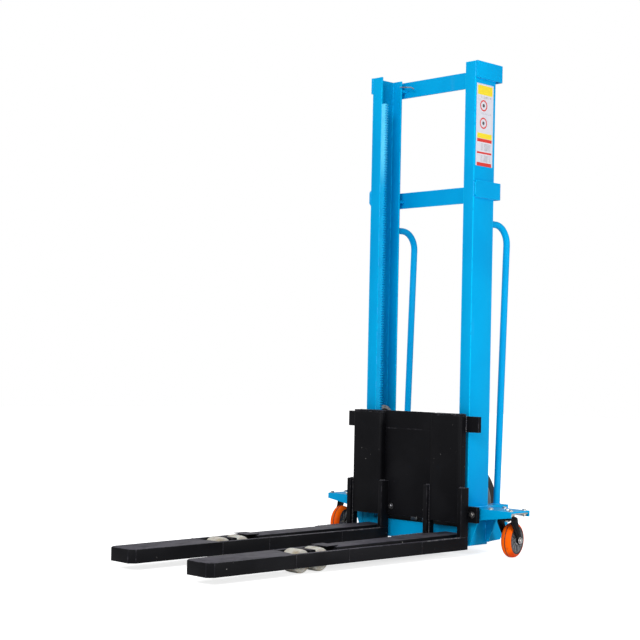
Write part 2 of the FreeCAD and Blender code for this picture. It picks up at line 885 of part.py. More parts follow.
def nodes():
    made = {
        "right_upright": right_upright(),
        "left_upright": mirror_x(right_upright()),
        "top_strap": drilled_strap(mast_height - strap_height, 0),
        "middle_strap": chamfered_strap(middle_strap_z, 0),
        "strap_spacers": strap_spacers(),
        "gear_rack": rack_strip(),
        "right_handle": right_handle(),
        "left_handle": mirror_x(right_handle()),
        "info_panel": warning_panel(),
        "base_beams": group([front_plate(), cross_beam()]),
        "side_plates": both_sides(right_side_plate()),
        "base_brackets": group([handle_feet(), wing_gussets()]),
        "right_wing": right_wing(),
        "left_wing": mirror_x(right_wing()),
        "caster_bolts": caster_bolts(),
        "rear_bridge": group([bridge_beam(), bridge_arm(), bridge_ears()]),
        "rear_yoke": rear_yoke(),
        "rear_kingpin": kingpin(),
        "rear_axle": rear_axle(),
        "rear_wheel_rim": rear_rim(),
        "rear_tyre": rear_tyre(),
        "crossbars": crossbars(),
        "backrest": backrest(),
        "fork_bolts": fork_bolts(),
        "right_roller_bracket": roller_bracket(1),
        "left_roller_bracket": roller_bracket(-1),
        "pinion": pinion(),
        "gearbox": gearbox(),
        "lift_motor": lift_motor(),
        "drive_bracket": drive_bracket(),
        "power_box": power_box(),
        "power_box_lid": power_box_lid(),
        "batteries": batteries(),
        "control_box": control_box(),
        "key_switch": key_switch(),
        "emergency_stop": emergency_stop(),
        "raise_button": push_button(raise_x),
        "lower_button": push_button(lower_x),
    }
    pairs = {
        "leg": right_leg(),
        "bogie": group([right_bogie(), right_roller_axles()]),
        "front_load_roller": load_roller(bogie_y - roller_pitch / 2),
        "rear_load_roller": load_roller(bogie_y + roller_pitch / 2),
        "fork": group([right_blade(), right_shank(), right_side_bars()]),
        "upper_guide_roller": carriage_roller(carriage_roller_high),
        "lower_guide_roller": carriage_roller(carriage_roller_low),
        "caster_plate": caster_plate(),
    }
    for name, shape in pairs.items():
        made["right_" + name] = shape
        made["left_" + name] = mirror_x(shape)
    casters = {
        "caster_fork": caster_fork(),
        "caster_wheel": group([caster_hub(), caster_tyre()]),
        "caster_axle": caster_axle(),
    }
    for name, shape in casters.items():
        made["right_" + name] = placed_caster(shape, 1, right_caster_turn)
        made["left_" + name] = placed_caster(shape, -1, left_caster_turn)
    return made


def main():
    os.makedirs("parts", exist_ok=True)
    for name, shape in nodes().items():
        if not shape.isValid():
            raise ValueError(name + " is not a valid shape")
        shape.translate(vec(0, shift_y, 0))
        shape.exportStep("parts/" + name + ".step")
        print(name, len(shape.Solids), round(shape.Volume / 1000, 1))


main()
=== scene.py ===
import json
import math
import bmesh
import bpy
from mathutils import Matrix, Vector


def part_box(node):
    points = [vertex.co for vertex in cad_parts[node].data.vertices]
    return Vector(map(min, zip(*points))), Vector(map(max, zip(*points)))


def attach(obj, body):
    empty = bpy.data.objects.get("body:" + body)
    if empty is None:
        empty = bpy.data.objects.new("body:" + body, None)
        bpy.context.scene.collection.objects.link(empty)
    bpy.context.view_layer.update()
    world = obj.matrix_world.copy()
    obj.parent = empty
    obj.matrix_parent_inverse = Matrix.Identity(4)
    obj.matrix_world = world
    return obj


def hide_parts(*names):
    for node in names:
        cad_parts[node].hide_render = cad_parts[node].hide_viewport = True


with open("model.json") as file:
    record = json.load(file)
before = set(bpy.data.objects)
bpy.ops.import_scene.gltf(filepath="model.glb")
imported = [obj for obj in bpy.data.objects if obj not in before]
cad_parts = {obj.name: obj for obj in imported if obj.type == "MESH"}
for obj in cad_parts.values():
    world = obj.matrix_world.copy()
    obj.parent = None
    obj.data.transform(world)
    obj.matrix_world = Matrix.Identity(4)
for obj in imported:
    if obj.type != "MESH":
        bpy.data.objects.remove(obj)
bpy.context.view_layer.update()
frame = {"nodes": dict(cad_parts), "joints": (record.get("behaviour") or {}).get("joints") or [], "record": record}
nodes = frame["nodes"]
bodyOfNode = {n: body for body, names in frame["record"]["behaviour"]["bodies"].items() for n in names}
slotOfNode = {part["node"]: part["material_slot"] for part in frame["record"]["subparts"]}
joints = {joint["name"]: joint for joint in frame["joints"]}


class Wire:
    def __init__(self, graph, socket):
        self.graph = graph
        self.socket = socket

    def maths(self, operation, *values):
        return self.graph.node("ShaderNodeMath", {"operation": operation}, dict(enumerate(values)))

    def __add__(self, other):
        return self.maths("ADD", self, other)

    def __sub__(self, other):
        return self.maths("SUBTRACT", self, other)

    def __rsub__(self, other):
        return self.maths("SUBTRACT", other, self)

    def __mul__(self, other):
        return self.maths("MULTIPLY", self, other)

    def __truediv__(self, other):
        return self.maths("DIVIDE", self, other)

    def fraction(self):
        return self.maths("FRACT", self)

    def root(self):
        return self.maths("SQRT", self)

    def __gt__(self, other):
        return self.maths("GREATER_THAN", self, other)

    def __lt__(self, other):
        return self.maths("LESS_THAN", self, other)

    __radd__ = __add__
    __rmul__ = __mul__


class Graph:
    def __init__(self, tree):
        self.tree = tree

    def node(self, kind, settings=None, inputs=None, output=0):
        made = self.tree.nodes.new(kind)
        for key, value in (settings or {}).items():
            if key == "stops":
                self.fillRamp(made.color_ramp, value)
            else:
                setattr(made, key, value)
        for key, value in (inputs or {}).items():
            if isinstance(value, Wire):
                self.tree.links.new(value.socket, made.inputs[key])
            else:
                made.inputs[key].default_value = value
        return Wire(self, made.outputs[output])

    def fillRamp(self, ramp, stops):
        for element, (position, colour) in zip(ramp.elements, stops):
            element.position = position
            element.color = colour
        for position, colour in stops[2:]:
            ramp.elements.new(position).color = colour


class Finish(Graph):
    def __init__(self, name):
        self.material = bpy.data.materials.new(name)
        self.material.use_nodes = True
        super().__init__(self.material.node_tree)
        self.tree.nodes.clear()
        self.shader = self.tree.nodes.new("ShaderNodeBsdfPrincipled")
        output = self.tree.nodes.new("ShaderNodeOutputMaterial")
        self.tree.links.new(self.shader.outputs[0], output.inputs[0])
        self.place = self.node("ShaderNodeTexCoord", output="Object")

    def axis(self, letter):
        return self.node("ShaderNodeSeparateXYZ", inputs={0: self.place}, output=letter)

    def facing(self, letter):
        normal = self.node("ShaderNodeNewGeometry", output="Normal")
        return self.node("ShaderNodeSeparateXYZ", inputs={0: normal}, output=letter)

    def noise(self, scale, detail=4.0, roughness=0.5, stretch=(1, 1, 1)):
        place = self.node("ShaderNodeMapping", inputs={"Vector": self.place, "Scale": stretch})
        return self.node("ShaderNodeTexNoise", inputs={
            "Vector": place, "Scale": scale, "Detail": detail, "Roughness": roughness})

    def mask(self, value, low, high):
        return self.node("ShaderNodeMapRange", {"interpolation_type": "SMOOTHSTEP"},
                         {"Value": value, "From Min": low, "From Max": high})

    def mix(self, factor, first, second, blend="MIX"):
        return self.node("ShaderNodeMix", {"data_type": "RGBA", "blend_type": blend},
                         {0: factor, 6: first, 7: second}, 2)

    def bump(self, height, strength, distance):
        return self.node("ShaderNodeBump", inputs={
            "Height": height, "Strength": strength, "Distance": distance})

    def dress(self, **values):
        for key, value in values.items():
            socket = self.shader.inputs[key.replace("_", " ")]
            if isinstance(value, Wire):
                self.tree.links.new(value.socket, socket)
            else:
                socket.default_value = value
        return self.material


def tone(red, green, blue):
    return (red, green, blue, 1.0)


# The edge tone is partly paint worn thin and partly a painted highlight on rolled edges; the rack's light tone is
# a painted highlight on its upper part.
enamel = {"rubbed": tone(0.12, 0.66, 0.96), "blue": tone(0.0, 0.375, 0.745),
          "shade": tone(0.0, 0.325, 0.685), "edge": tone(0.0, 0.52, 0.90), "dust": tone(0.30, 0.44, 0.56),
          "roughness": 0.36}


def blueEnamel(name, base, shade):
    f = Finish(name)
    cloud = f.noise(3.5, 3)
    colour = f.mix(f.mask(cloud, 0.35, 0.7), base, shade)
    streak = f.mask(f.noise(9, 5, 0.6, (1, 1, 0.12)), 0.58, 0.78)
    colour = f.mix(streak * 0.10, colour, enamel["dust"])
    specks = f.mask(f.noise(420, 2), 0.74, 0.80) * f.mask(f.noise(11, 2), 0.52, 0.7)
    colour = f.mix(specks * 0.5, colour, tone(0.02, 0.05, 0.09))
    peel = f.noise(330, 2) * 0.6 + f.noise(60, 3) * 0.4
    return f.dress(Base_Color=colour, Roughness=enamel["roughness"] - 0.08 + f.noise(14, 4) * 0.18,
                   Specular_IOR_Level=0.04, Normal=f.bump(peel, 0.10, 0.0006))


# The dust tone lightens upward faces of black parts: partly dust, partly a painted sheen.
powder = {"black": tone(0.0038, 0.0038, 0.0050), "lift": tone(0.0075, 0.0075, 0.0092),
          "dust": tone(0.088, 0.084, 0.102), "chip": tone(0.34, 0.33, 0.32), "rust": tone(0.11, 0.05, 0.025)}


def rackPaint():
    f = Finish("rackPaint")
    # painted highlight: the rack's upper part is lightened to a pale blue, standing in for the reflection on it,
    # broken up by noise
    rubbed = f.mask(f.axis("Z"), 1.34, 1.50) * (0.55 + f.noise(60, 4) * 0.5)
    colour = f.mix(f.mask(f.noise(30, 3), 0.35, 0.7), enamel["blue"], enamel["shade"])
    colour = f.mix(rubbed, colour, enamel["rubbed"])
    return f.dress(Base_Color=colour, Roughness=0.34 + f.noise(50, 3) * 0.2, Specular_IOR_Level=0.12,
                   Normal=f.bump(f.noise(300, 2), 0.10, 0.0004))


def blackPowder(name, dustAndSheen, chips):
    f = Finish(name)
    colour = f.mix(f.mask(f.noise(5, 4), 0.4, 0.7), powder["black"], powder["lift"])
    # faces turned upward are lightened: partly dust, partly a painted sheen on the tops
    up = f.mask(f.facing("Z"), 0.75, 0.97)
    grime = f.mask(f.noise(22, 6, 0.65), 0.30, 0.62)
    scrape = f.mask(f.noise(30, 4, 0.6, (6, 0.35, 1)), 0.50, 0.72)
    colour = f.mix(up * (0.35 + grime * 0.45 + scrape * 0.25) * dustAndSheen, colour, powder["dust"])
    spots = f.mask(f.noise(95, 3, 0.55), 0.735 - 0.02 * chips, 0.765 - 0.02 * chips)
    here = f.mask(f.noise(7, 2), 0.52, 0.66)
    chip = spots * here
    colour = f.mix(chip * 0.75 * chips, colour, powder["chip"])
    fleck = f.mask(f.noise(240, 2), 0.76, 0.80)
    colour = f.mix(fleck * 0.35, colour, powder["rust"])
    grain = f.noise(520, 2) * 0.7 + f.noise(90, 3) * 0.3 - chip * 0.5
    return f.dress(Base_Color=colour, Roughness=0.40 + f.noise(18, 4) * 0.2 + up * 0.08,
                   Specular_IOR_Level=0.08, Normal=f.bump(grain, 0.16, 0.0006))


def plainEdge(name, base, spread, roughness):
    f = Finish(name)
    # The base tone is lighter than the body paint: partly paint worn thin on the rolled edges, partly a painted
    # highlight along them.
    worn = f.mask(f.noise(45, 4, 0.6), 0.48, 0.66)
    return f.dress(Base_Color=f.mix(worn, base, spread), Roughness=roughness - 0.06 + f.noise(60, 3) * 0.12,
                   Specular_IOR_Level=0.05,
                   Normal=f.bump(f.noise(300, 2), 0.08, 0.0004))


def weldMetal(name, base, tint):
    f = Finish(name)
    colour = f.mix(f.mask(f.noise(160, 3), 0.4, 0.68), base, tint)
    return f.dress(Base_Color=colour, Roughness=0.36 + f.noise(80, 3) * 0.22, Specular_IOR_Level=0.2,
                   Normal=f.bump(f.noise(700, 2), 0.25, 0.0004))


def platedZinc():
    f = Finish("zincPlate")
    colour = f.mix(f.mask(f.noise(40, 3), 0.35, 0.7), tone(0.62, 0.63, 0.66), tone(0.50, 0.49, 0.42))
    colour = f.mix(f.mask(f.noise(300, 3), 0.62, 0.75) * 0.6, colour, tone(0.20, 0.16, 0.12))
    return f.dress(Base_Color=colour, Metallic=1.0, Roughness=0.24 + f.noise(120, 3) * 0.22,
                   Normal=f.bump(f.noise(500, 2), 0.10, 0.0003))


def turnedSteel(name, base):
    f = Finish(name)
    rings = f.noise(900, 2, 0.5, (1, 0.04, 0.04))
    colour = f.mix(f.mask(f.noise(55, 4), 0.45, 0.75), base, tone(0.20, 0.19, 0.18))
    return f.dress(Base_Color=colour, Metallic=1.0, Roughness=0.28 + rings * 0.22,
                   Normal=f.bump(rings, 0.12, 0.0003))


nylon = {"cream": tone(0.60, 0.585, 0.53), "dirt": tone(0.36, 0.30, 0.20), "stripe": tone(0.20, 0.12, 0.06)}


def creamNylon():
    f = Finish("creamNylon")
    colour = f.mix(f.mask(f.noise(26, 4), 0.42, 0.75), nylon["cream"], nylon["dirt"])
    bands = f.mask(f.noise(150, 3, 0.6, (1, 0.03, 0.03)), 0.56, 0.68)
    scuff = f.mask(f.noise(70, 5, 0.65), 0.60, 0.72)
    colour = f.mix(bands * 0.55, colour, nylon["stripe"])
    colour = f.mix(scuff * 0.4, colour, nylon["dirt"])
    return f.dress(Base_Color=colour, Roughness=0.38 + f.noise(40, 3) * 0.2, Subsurface_Weight=0.05,
                   Normal=f.bump(f.noise(260, 3), 0.15, 0.0005))


urethane = {"orange": tone(0.98, 0.130, 0.001), "deep": tone(0.72, 0.065, 0.003),
            "soil": tone(0.10, 0.035, 0.015)}


def orangeUrethane():
    f = Finish("orangeUrethane")
    colour = f.mix(f.mask(f.noise(12, 3), 0.4, 0.7), urethane["orange"], urethane["deep"])
    soil = f.mask(f.noise(80, 5, 0.65), 0.60, 0.74)
    colour = f.mix(soil * 0.45, colour, urethane["soil"])
    return f.dress(Base_Color=colour, Roughness=0.34 + f.noise(50, 3) * 0.2, Specular_IOR_Level=0.05,
                   Normal=f.bump(f.noise(240, 3), 0.10, 0.0005))


def blackRubber():
    f = Finish("tyreRubber")
    colour = f.mix(f.mask(f.noise(30, 4), 0.4, 0.75), tone(0.010, 0.010, 0.011), tone(0.035, 0.032, 0.030))
    return f.dress(Base_Color=colour, Roughness=0.62 + f.noise(60, 3) * 0.2,
                   Normal=f.bump(f.noise(380, 3), 0.2, 0.0006))


def mouldedPlastic(name, base, second, roughness, grain):
    f = Finish(name)
    colour = f.mix(f.mask(f.noise(35, 3), 0.38, 0.72), base, second)
    return f.dress(Base_Color=colour, Roughness=roughness - 0.05 + f.noise(90, 3) * 0.1,
                   Normal=f.bump(f.noise(650, 2), grain, 0.0003))


def castPaint():
    f = Finish("castGrey")
    colour = f.mix(f.mask(f.noise(16, 4), 0.4, 0.72), tone(0.15, 0.16, 0.17), tone(0.09, 0.095, 0.10))
    oil = f.mask(f.noise(28, 4, 0.6), 0.60, 0.75)
    colour = f.mix(oil * 0.6, colour, tone(0.03, 0.024, 0.018))
    return f.dress(Base_Color=colour, Roughness=0.52 - oil * 0.25,
                   Normal=f.bump(f.noise(210, 4), 0.35, 0.0009))


label = {"paper": tone(0.66, 0.655, 0.72), "yellow": tone(0.86, 0.68, 0.02), "red": tone(0.66, 0.03, 0.02),
         "grey": tone(0.07, 0.07, 0.08), "margin": 0.006, "rulePitch": 0.0042,
         "bands": [("yellow", 0.000, 0.040), ("yellow", 0.180, 0.199), ("red", 0.200, 0.212),
                   ("red", 0.248, 0.255), ("red", 0.287, 0.300)],
         "rules": [(0.046, 0.052), (0.106, 0.110), (0.216, 0.244), (0.259, 0.283)],
         "rings": [0.079, 0.143]}


def printedFilm():
    f = Finish("printedFilm")
    low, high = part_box("info_panel")
    across = f.axis("Y") - low.y
    down = high.z - f.axis("Z")
    width = high.y - low.y
    inside = (across > label["margin"]) * (across < width - label["margin"])
    inside = inside * (down > label["margin"])
    colour = label["paper"]
    for ink, start, end in label["bands"]:
        colour = f.mix(inside * (down > start) * (down < end), colour, label[ink])
    for start, end in label["rules"]:
        lines = (down / label["rulePitch"]).fraction() < 0.34
        words = f.noise(260, 1, 0.5, (0, 1, 0.02)) > 0.44
        column = (across > 0.026) * (across < width - 0.012)
        colour = f.mix((down > start) * (down < end) * lines * words * column * 0.8, colour, label["grey"])
    for centre in label["rings"]:
        sideways = across - width * 0.42
        upward = down - centre
        reach = (sideways * sideways + upward * upward).root()
        ring = (reach > 0.0155) * (reach < 0.0205)
        colour = f.mix(ring, colour, label["red"])
        colour = f.mix(reach < 0.0065, colour, label["grey"])
    grime = f.mask(f.noise(30, 4, 0.6), 0.6, 0.8)
    colour = f.mix(grime * 0.15, colour, tone(0.35, 0.33, 0.30))
    return f.dress(Base_Color=colour, Roughness=0.30 + f.noise(40, 3) * 0.12,
                   Normal=f.bump(f.noise(60, 3), 0.04, 0.0004))


finishes = { "blue_paint": blueEnamel("blueEnamel", enamel["blue"], enamel["shade"]),
            "panel_print": printedFilm(), "zinc": platedZinc(),
            "black_paint": blackPowder("blackPowder", 0.55, 0.6),
            "rim_grey": mouldedPlastic("rimPaint", tone(0.22, 0.22, 0.23), tone(0.16, 0.16, 0.165), 0.42,
                                       0.12), "black_rubber": blackRubber(),
            "steel": turnedSteel("turnedSteel", tone(0.46, 0.46, 0.48)), "gearbox_grey": castPaint(),
            "box_plastic": mouldedPlastic("texturedBlack", tone(0.014, 0.014, 0.016),
                                          tone(0.022, 0.022, 0.025), 0.55, 0.45),
            "battery_case": mouldedPlastic("batteryCase", tone(0.03, 0.03, 0.035),
                                           tone(0.045, 0.045, 0.05), 0.5, 0.2),
            "key_metal": turnedSteel("keyChrome", tone(0.62, 0.62, 0.62)),
            "stop_red": mouldedPlastic("stopRed", tone(0.62, 0.012, 0.008), tone(0.50, 0.008, 0.006), 0.3,
                                       0.05), "button_green": mouldedPlastic("buttonGreen",
        tone(0.02, 0.30, 0.07), tone(0.015, 0.24, 0.05), 0.32, 0.05), "cream_nylon": creamNylon(),
            "orange_tyre": orangeUrethane(), }
# edge finishes for the rolled bevels, lighter than the body paint: partly wear, partly a painted highlight
edges = {
    "blue_paint": plainEdge("blueEdge", enamel["edge"], enamel["blue"], 0.32),
    "black_paint": plainEdge("blackEdge", tone(0.012, 0.012, 0.015), tone(0.050, 0.048, 0.055), 0.42),
}
# the forks get the strongest upward lightening: dust and a painted sheen on their tops
forkPowder = blackPowder("forkPowder", 1.3, 1.3)
blueWeld = weldMetal("blueWeld", tone(0.01, 0.40, 0.86), tone(0.05, 0.55, 0.95))
seamBlack = weldMetal("seamBlack", tone(0.016, 0.016, 0.020), tone(0.050, 0.050, 0.058))
blackWeld = weldMetal("blackWeld", tone(0.040, 0.040, 0.052), tone(0.15, 0.145, 0.15))
darkZinc = turnedSteel("darkZinc", tone(0.16, 0.16, 0.17))
darkSeal = mouldedPlastic("darkSeal", tone(0.012, 0.012, 0.013), tone(0.02, 0.02, 0.022), 0.5, 0.1)
hubGrey = mouldedPlastic("hubGrey", tone(0.20, 0.205, 0.215), tone(0.12, 0.12, 0.13), 0.42, 0.2)
signalYellow = mouldedPlastic("signalYellow", tone(0.80, 0.56, 0.01), tone(0.72, 0.48, 0.01), 0.35, 0.08)
print("finishes made:", len(bpy.data.materials))

for nodeName, cadPiece in nodes.items():  # every carried-over node gets its slot's finish
    for materialSlot in cadPiece.material_slots:
        materialSlot.material = finishes[slotOfNode[nodeName]]


def startTree(name, sockets):
    tree = bpy.data.node_groups.new(name, "GeometryNodeTree")
    tree.interface.new_socket("Geometry", in_out="INPUT", socket_type="NodeSocketGeometry")
    for label_, kind, value in sockets + [("Finish", "NodeSocketMaterial", None)]:
        socket = tree.interface.new_socket(label_, in_out="INPUT", socket_type=kind)
        if value is not None:
            socket.default_value = value
    tree.interface.new_socket("Geometry", in_out="OUTPUT", socket_type="NodeSocketGeometry")
    g = Graph(tree)
    entry = tree.nodes.new("NodeGroupInput")
    return g, {socket.name: Wire(g, socket) for socket in entry.outputs if socket.name}


def endTree(g, instances, given):
    real = g.node("GeometryNodeRealizeInstances", inputs={"Geometry": instances})
    painted = g.node("GeometryNodeSetMaterial", inputs={"Geometry": real, "Material": given["Finish"]})
    leave = g.tree.nodes.new("NodeGroupOutput")
    g.tree.links.new(painted.socket, leave.inputs[0])
    return g.tree


def facingRotation(g, given):
    return g.node("FunctionNodeAlignRotationToVector", {"axis": "Z"}, {"Vector": given["Facing"]})


def joinWires(g, wires):
    joined = g.tree.nodes.new("GeometryNodeJoinGeometry")
    for wire in wires:
        g.tree.links.new(wire.socket, joined.inputs[0])
    return Wire(g, joined.outputs[0])


def raised(g, mesh, height):
    lift = g.node("ShaderNodeCombineXYZ", inputs={2: height})
    return g.node("GeometryNodeTransform", inputs={"Geometry": mesh, "Translation": lift})


def makeBeadTree():  # overlapping ripples of weld metal along the edges it is given
    g, given = startTree("weldBead", [("Bead Radius", "NodeSocketFloat", 0.003),
                                      ("Spacing", "NodeSocketFloat", 0.003), ("Seed", "NodeSocketInt", 4)])
    path = g.node("GeometryNodeMeshToCurve", inputs={"Mesh": given["Geometry"]})
    points = g.node("GeometryNodeResampleCurve", {"mode": "LENGTH"},
                    {"Curve": path, "Length": given["Spacing"]})
    ball = g.node("GeometryNodeMeshUVSphere", inputs={"Segments": 9, "Rings": 6,
            "Radius": given["Bead Radius"]})
    ball = g.node("GeometryNodeSetShadeSmooth", inputs={"Geometry": ball, "Shade Smooth": True})
    size = g.node("FunctionNodeRandomValue", {"data_type": "FLOAT_VECTOR"},
                  {0: (0.72, 0.72, 0.72), 1: (1.1, 1.1, 1.1), "Seed": given["Seed"]})
    turn = g.node("FunctionNodeRandomValue", {"data_type": "FLOAT_VECTOR"},
                  {0: (0, 0, 0), 1: (6.28, 6.28, 6.28), "Seed": given["Seed"]})
    beads = g.node("GeometryNodeInstanceOnPoints", inputs={
        "Points": points, "Instance": ball, "Rotation": turn, "Scale": size})
    return endTree(g, beads, given)


def makeBoltTree():  # washer, hex head and chamfered crown on every vertex
    g, given = startTree("hexBolt", [
        ("Head Radius", "NodeSocketFloat", 0.0075), ("Head Height", "NodeSocketFloat", 0.005),
        ("Washer Radius", "NodeSocketFloat", 0.010), ("Washer Height", "NodeSocketFloat", 0.0016),
        ("Facing", "NodeSocketVector", (0, 0, 1))])
    radius, height = given["Head Radius"], given["Head Height"]
    thick = given["Washer Height"]
    washer = g.node("GeometryNodeMeshCylinder", inputs={"Vertices": 28, "Radius": given["Washer Radius"],
            "Depth": thick})
    washer = raised(g, washer, thick * 0.5)
    head = g.node("GeometryNodeMeshCylinder", inputs={"Vertices": 6, "Radius": radius, "Depth": height * 0.8})
    head = raised(g, head, thick + height * 0.4)
    crown = g.node("GeometryNodeMeshCone", inputs={
        "Vertices": 6, "Radius Top": radius * 0.78, "Radius Bottom": radius, "Depth": height * 0.2})
    crown = raised(g, crown, thick + height * 0.8)
    bolts = g.node("GeometryNodeInstanceOnPoints", inputs={
        "Points": given["Geometry"], "Instance": joinWires(g, [washer, head, crown]),
        "Rotation": facingRotation(g, given)})
    return endTree(g, bolts, given)


def makeDiscTree():  # round discs or fins, one on every vertex
    g, given = startTree("discRow", [
        ("Disc Radius", "NodeSocketFloat", 0.03), ("Thickness", "NodeSocketFloat", 0.002),
        ("Sides", "NodeSocketInt", 40), ("Facing", "NodeSocketVector", (1, 0, 0))])
    disc = g.node("GeometryNodeMeshCylinder", inputs={
        "Vertices": given["Sides"], "Radius": given["Disc Radius"], "Depth": given["Thickness"]})
    discs = g.node("GeometryNodeInstanceOnPoints", inputs={
        "Points": given["Geometry"], "Instance": disc, "Rotation": facingRotation(g, given)})
    return endTree(g, discs, given)


def makeSlatTree():  # tilted slats, one on every vertex
    g, given = startTree("slatRow", [
        ("Size", "NodeSocketVector", (0.05, 0.002, 0.006)), ("Tilt", "NodeSocketVector", (0, 0, 0))])
    slat = g.node("GeometryNodeMeshCube", inputs={"Size": given["Size"]})
    slats = g.node("GeometryNodeInstanceOnPoints", inputs={
        "Points": given["Geometry"], "Instance": slat, "Rotation": given["Tilt"]})
    return endTree(g, slats, given)


trees = {"bead": makeBeadTree(), "bolt": makeBoltTree(), "disc": makeDiscTree(), "slat": makeSlatTree()}
print("geometry trees made:", len(trees))


def newObject(name, mesh):
    piece = bpy.data.objects.new(name, mesh)
    bpy.context.scene.collection.objects.link(piece)
    return piece


def settle(piece):  # the modifiers' result becomes the piece's own plain mesh
    graph = bpy.context.evaluated_depsgraph_get()
    mesh = bpy.data.meshes.new_from_object(piece.evaluated_get(graph), depsgraph=graph)
    piece.modifiers.clear()
    piece.data = mesh
    mesh.name = piece.name


def seat(piece, body, slotName, *stoodFor):
    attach(piece, body)
    if stoodFor:
        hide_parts(*stoodFor)
    return piece


def growOn(name, points, links, treeName, values, body, slotName):
    mesh = bpy.data.meshes.new(name + "Base")
    mesh.from_pydata([tuple(p) for p in points], links, [])
    piece = newObject(name, mesh)
    tree = trees[treeName]
    modifier = piece.modifiers.new("grow", "NODES")
    modifier.node_group = tree
    for item in tree.interface.items_tree:
        if item.in_out == "INPUT" and item.name in values:
            modifier[item.identifier] = values[item.name]
    settle(piece)
    return seat(piece, body, slotName)


def roundOff(points, radii, steps=5):  # a closed flat outline with its corners turned into arcs
    outline = []
    for i, corner in enumerate(points):
        radius = radii[i] if isinstance(radii, (list, tuple)) else radii
        here, before, after = Vector(corner), Vector(points[i - 1]), Vector(points[(i + 1) % len(points)])
        if not radius:
            outline.append(here)
            continue
        toBefore, toAfter = (before - here).normalized(), (after - here).normalized()
        half = math.acos(max(-1, min(1, toBefore.dot(toAfter)))) / 2
        centre = here + (toBefore + toAfter).normalized() * (radius / math.sin(half))
        start = here + toBefore * (radius / math.tan(half)) - centre
        end = here + toAfter * (radius / math.tan(half)) - centre
        first = math.atan2(start.y, start.x)
        sweep = (math.atan2(end.y, end.x) - first + math.pi) % (2 * math.pi) - math.pi
        for k in range(steps + 1):
            angle = first + sweep * k / steps
            outline.append(centre + Vector((math.cos(angle), math.sin(angle))) * radius)
    return outline


def rectangle(u0, u1, v0, v1):
    return [(u0, v0), (u1, v0), (u1, v1), (u0, v1)]


placeAlong = {"x": lambda u, v, w: (w, u, v), "y": lambda u, v, w: (u, w, v), "z": lambda u, v, w: (u, v, w)}


def ringOf(shape, outline, level, along):
    return [shape.verts.new(placeAlong[along](p[0], p[1], level)) for p in outline]


def wallBetween(shape, first, second, index=0):
    made = []
    for i in range(len(first)):
        k = (i + 1) % len(first)
        made.append(shape.faces.new((first[i], first[k], second[k], second[i])))
    for face in made:
        face.material_index = index
    return made


def addPrism(shape, outline, low, high, along="z", index=0):
    bottom, top = ringOf(shape, outline, low, along), ringOf(shape, outline, high, along)
    wallBetween(shape, bottom, top, index)
    for ring in (bottom, top):
        shape.faces.new(ring).material_index = index


def addBox(shape, low, high, index=0):
    addPrism(shape, rectangle(low[0], high[0], low[1], high[1]), low[2], high[2], "z", index)


def addPocket(shape, outer, inner, openAt, closedAt, floorAt, along="z", index=0):
    rim, back = ringOf(shape, outer, openAt, along), ringOf(shape, outer, closedAt, along)
    lip, floor = ringOf(shape, inner, openAt, along), ringOf(shape, inner, floorAt, along)
    wallBetween(shape, rim, back, index)
    wallBetween(shape, rim, lip, index)
    wallBetween(shape, lip, floor, index)
    shape.faces.new(back).material_index = index
    shape.faces.new(floor).material_index = index


def addLathe(shape, profile, centre, axis, steps=64, index=0):
    axis = Vector(axis).normalized()
    side = axis.orthogonal().normalized()
    other = axis.cross(side)
    rings = []
    for along, radius in profile:
        middle = Vector(centre) + axis * along
        if radius < 1e-6:
            rings.append([shape.verts.new(middle)])
            continue
        turns = [2 * math.pi * i / steps for i in range(steps)]
        rings.append([shape.verts.new(middle + (side * math.cos(t) + other * math.sin(t)) * radius)
                      for t in turns])
    isRing = len(rings[0]) > 1 and len(rings[-1]) > 1
    pairs = list(zip(rings, rings[1:])) + ([(rings[-1], rings[0])] if isRing else [])
    for first, second in pairs:
        if len(first) == 1 or len(second) == 1:
            pole, ring = (first[0], second) if len(first) == 1 else (second[0], first)
            for i in range(steps):
                shape.faces.new((pole, ring[i], ring[(i + 1) % steps])).material_index = index
        else:
            wallBetween(shape, first, second, index)


def finishPiece(name, shape, materials, bevel=0.0, segments=2, edgeIndex=-1, sharp=32, bevelFrom=38):
    bmesh.ops.recalc_face_normals(shape, faces=shape.faces)
    mesh = bpy.data.meshes.new(name)
    shape.to_mesh(mesh)
    shape.free()
    for material in materials:
        mesh.materials.append(material)
    piece = newObject(name, mesh)
    if bevel:
        chamfer = piece.modifiers.new("edges", "BEVEL")
        chamfer.width = bevel
        chamfer.segments = segments
        chamfer.limit_method = "ANGLE"
        chamfer.angle_limit = math.radians(bevelFrom)
        chamfer.use_clamp_overlap = True
        chamfer.material = edgeIndex
        settle(piece)
    piece.data.shade_smooth()
    piece.data.set_sharp_from_angle(angle=math.radians(sharp))
    return piece


def camel(nodeName):
    first, *rest = nodeName.split("_")
    return first + "".join(word.capitalize() for word in rest)


def mergedCopy(nodeName):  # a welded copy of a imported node's loose triangles
    shape = bmesh.new()
    shape.from_mesh(nodes[nodeName].data)
    bmesh.ops.remove_doubles(shape, verts=shape.verts, dist=4e-6)
    bmesh.ops.dissolve_limit(shape, angle_limit=math.radians(0.4), verts=shape.verts, edges=shape.edges)
    for face in shape.faces:
        face.material_index = 0
    return shape


def softCopy(nodeName, bevel, segments=2, sharp=24, material=None):
    slotName = slotOfNode[nodeName]
    materials = [material or finishes[slotName]] + ([edges[slotName]] if slotName in edges else [])
    piece = finishPiece(camel(nodeName), mergedCopy(nodeName), materials, bevel, segments,
                        len(materials) - 1 if len(materials) > 1 else -1, sharp)
    return seat(piece, bodyOfNode[nodeName], slotName, nodeName)


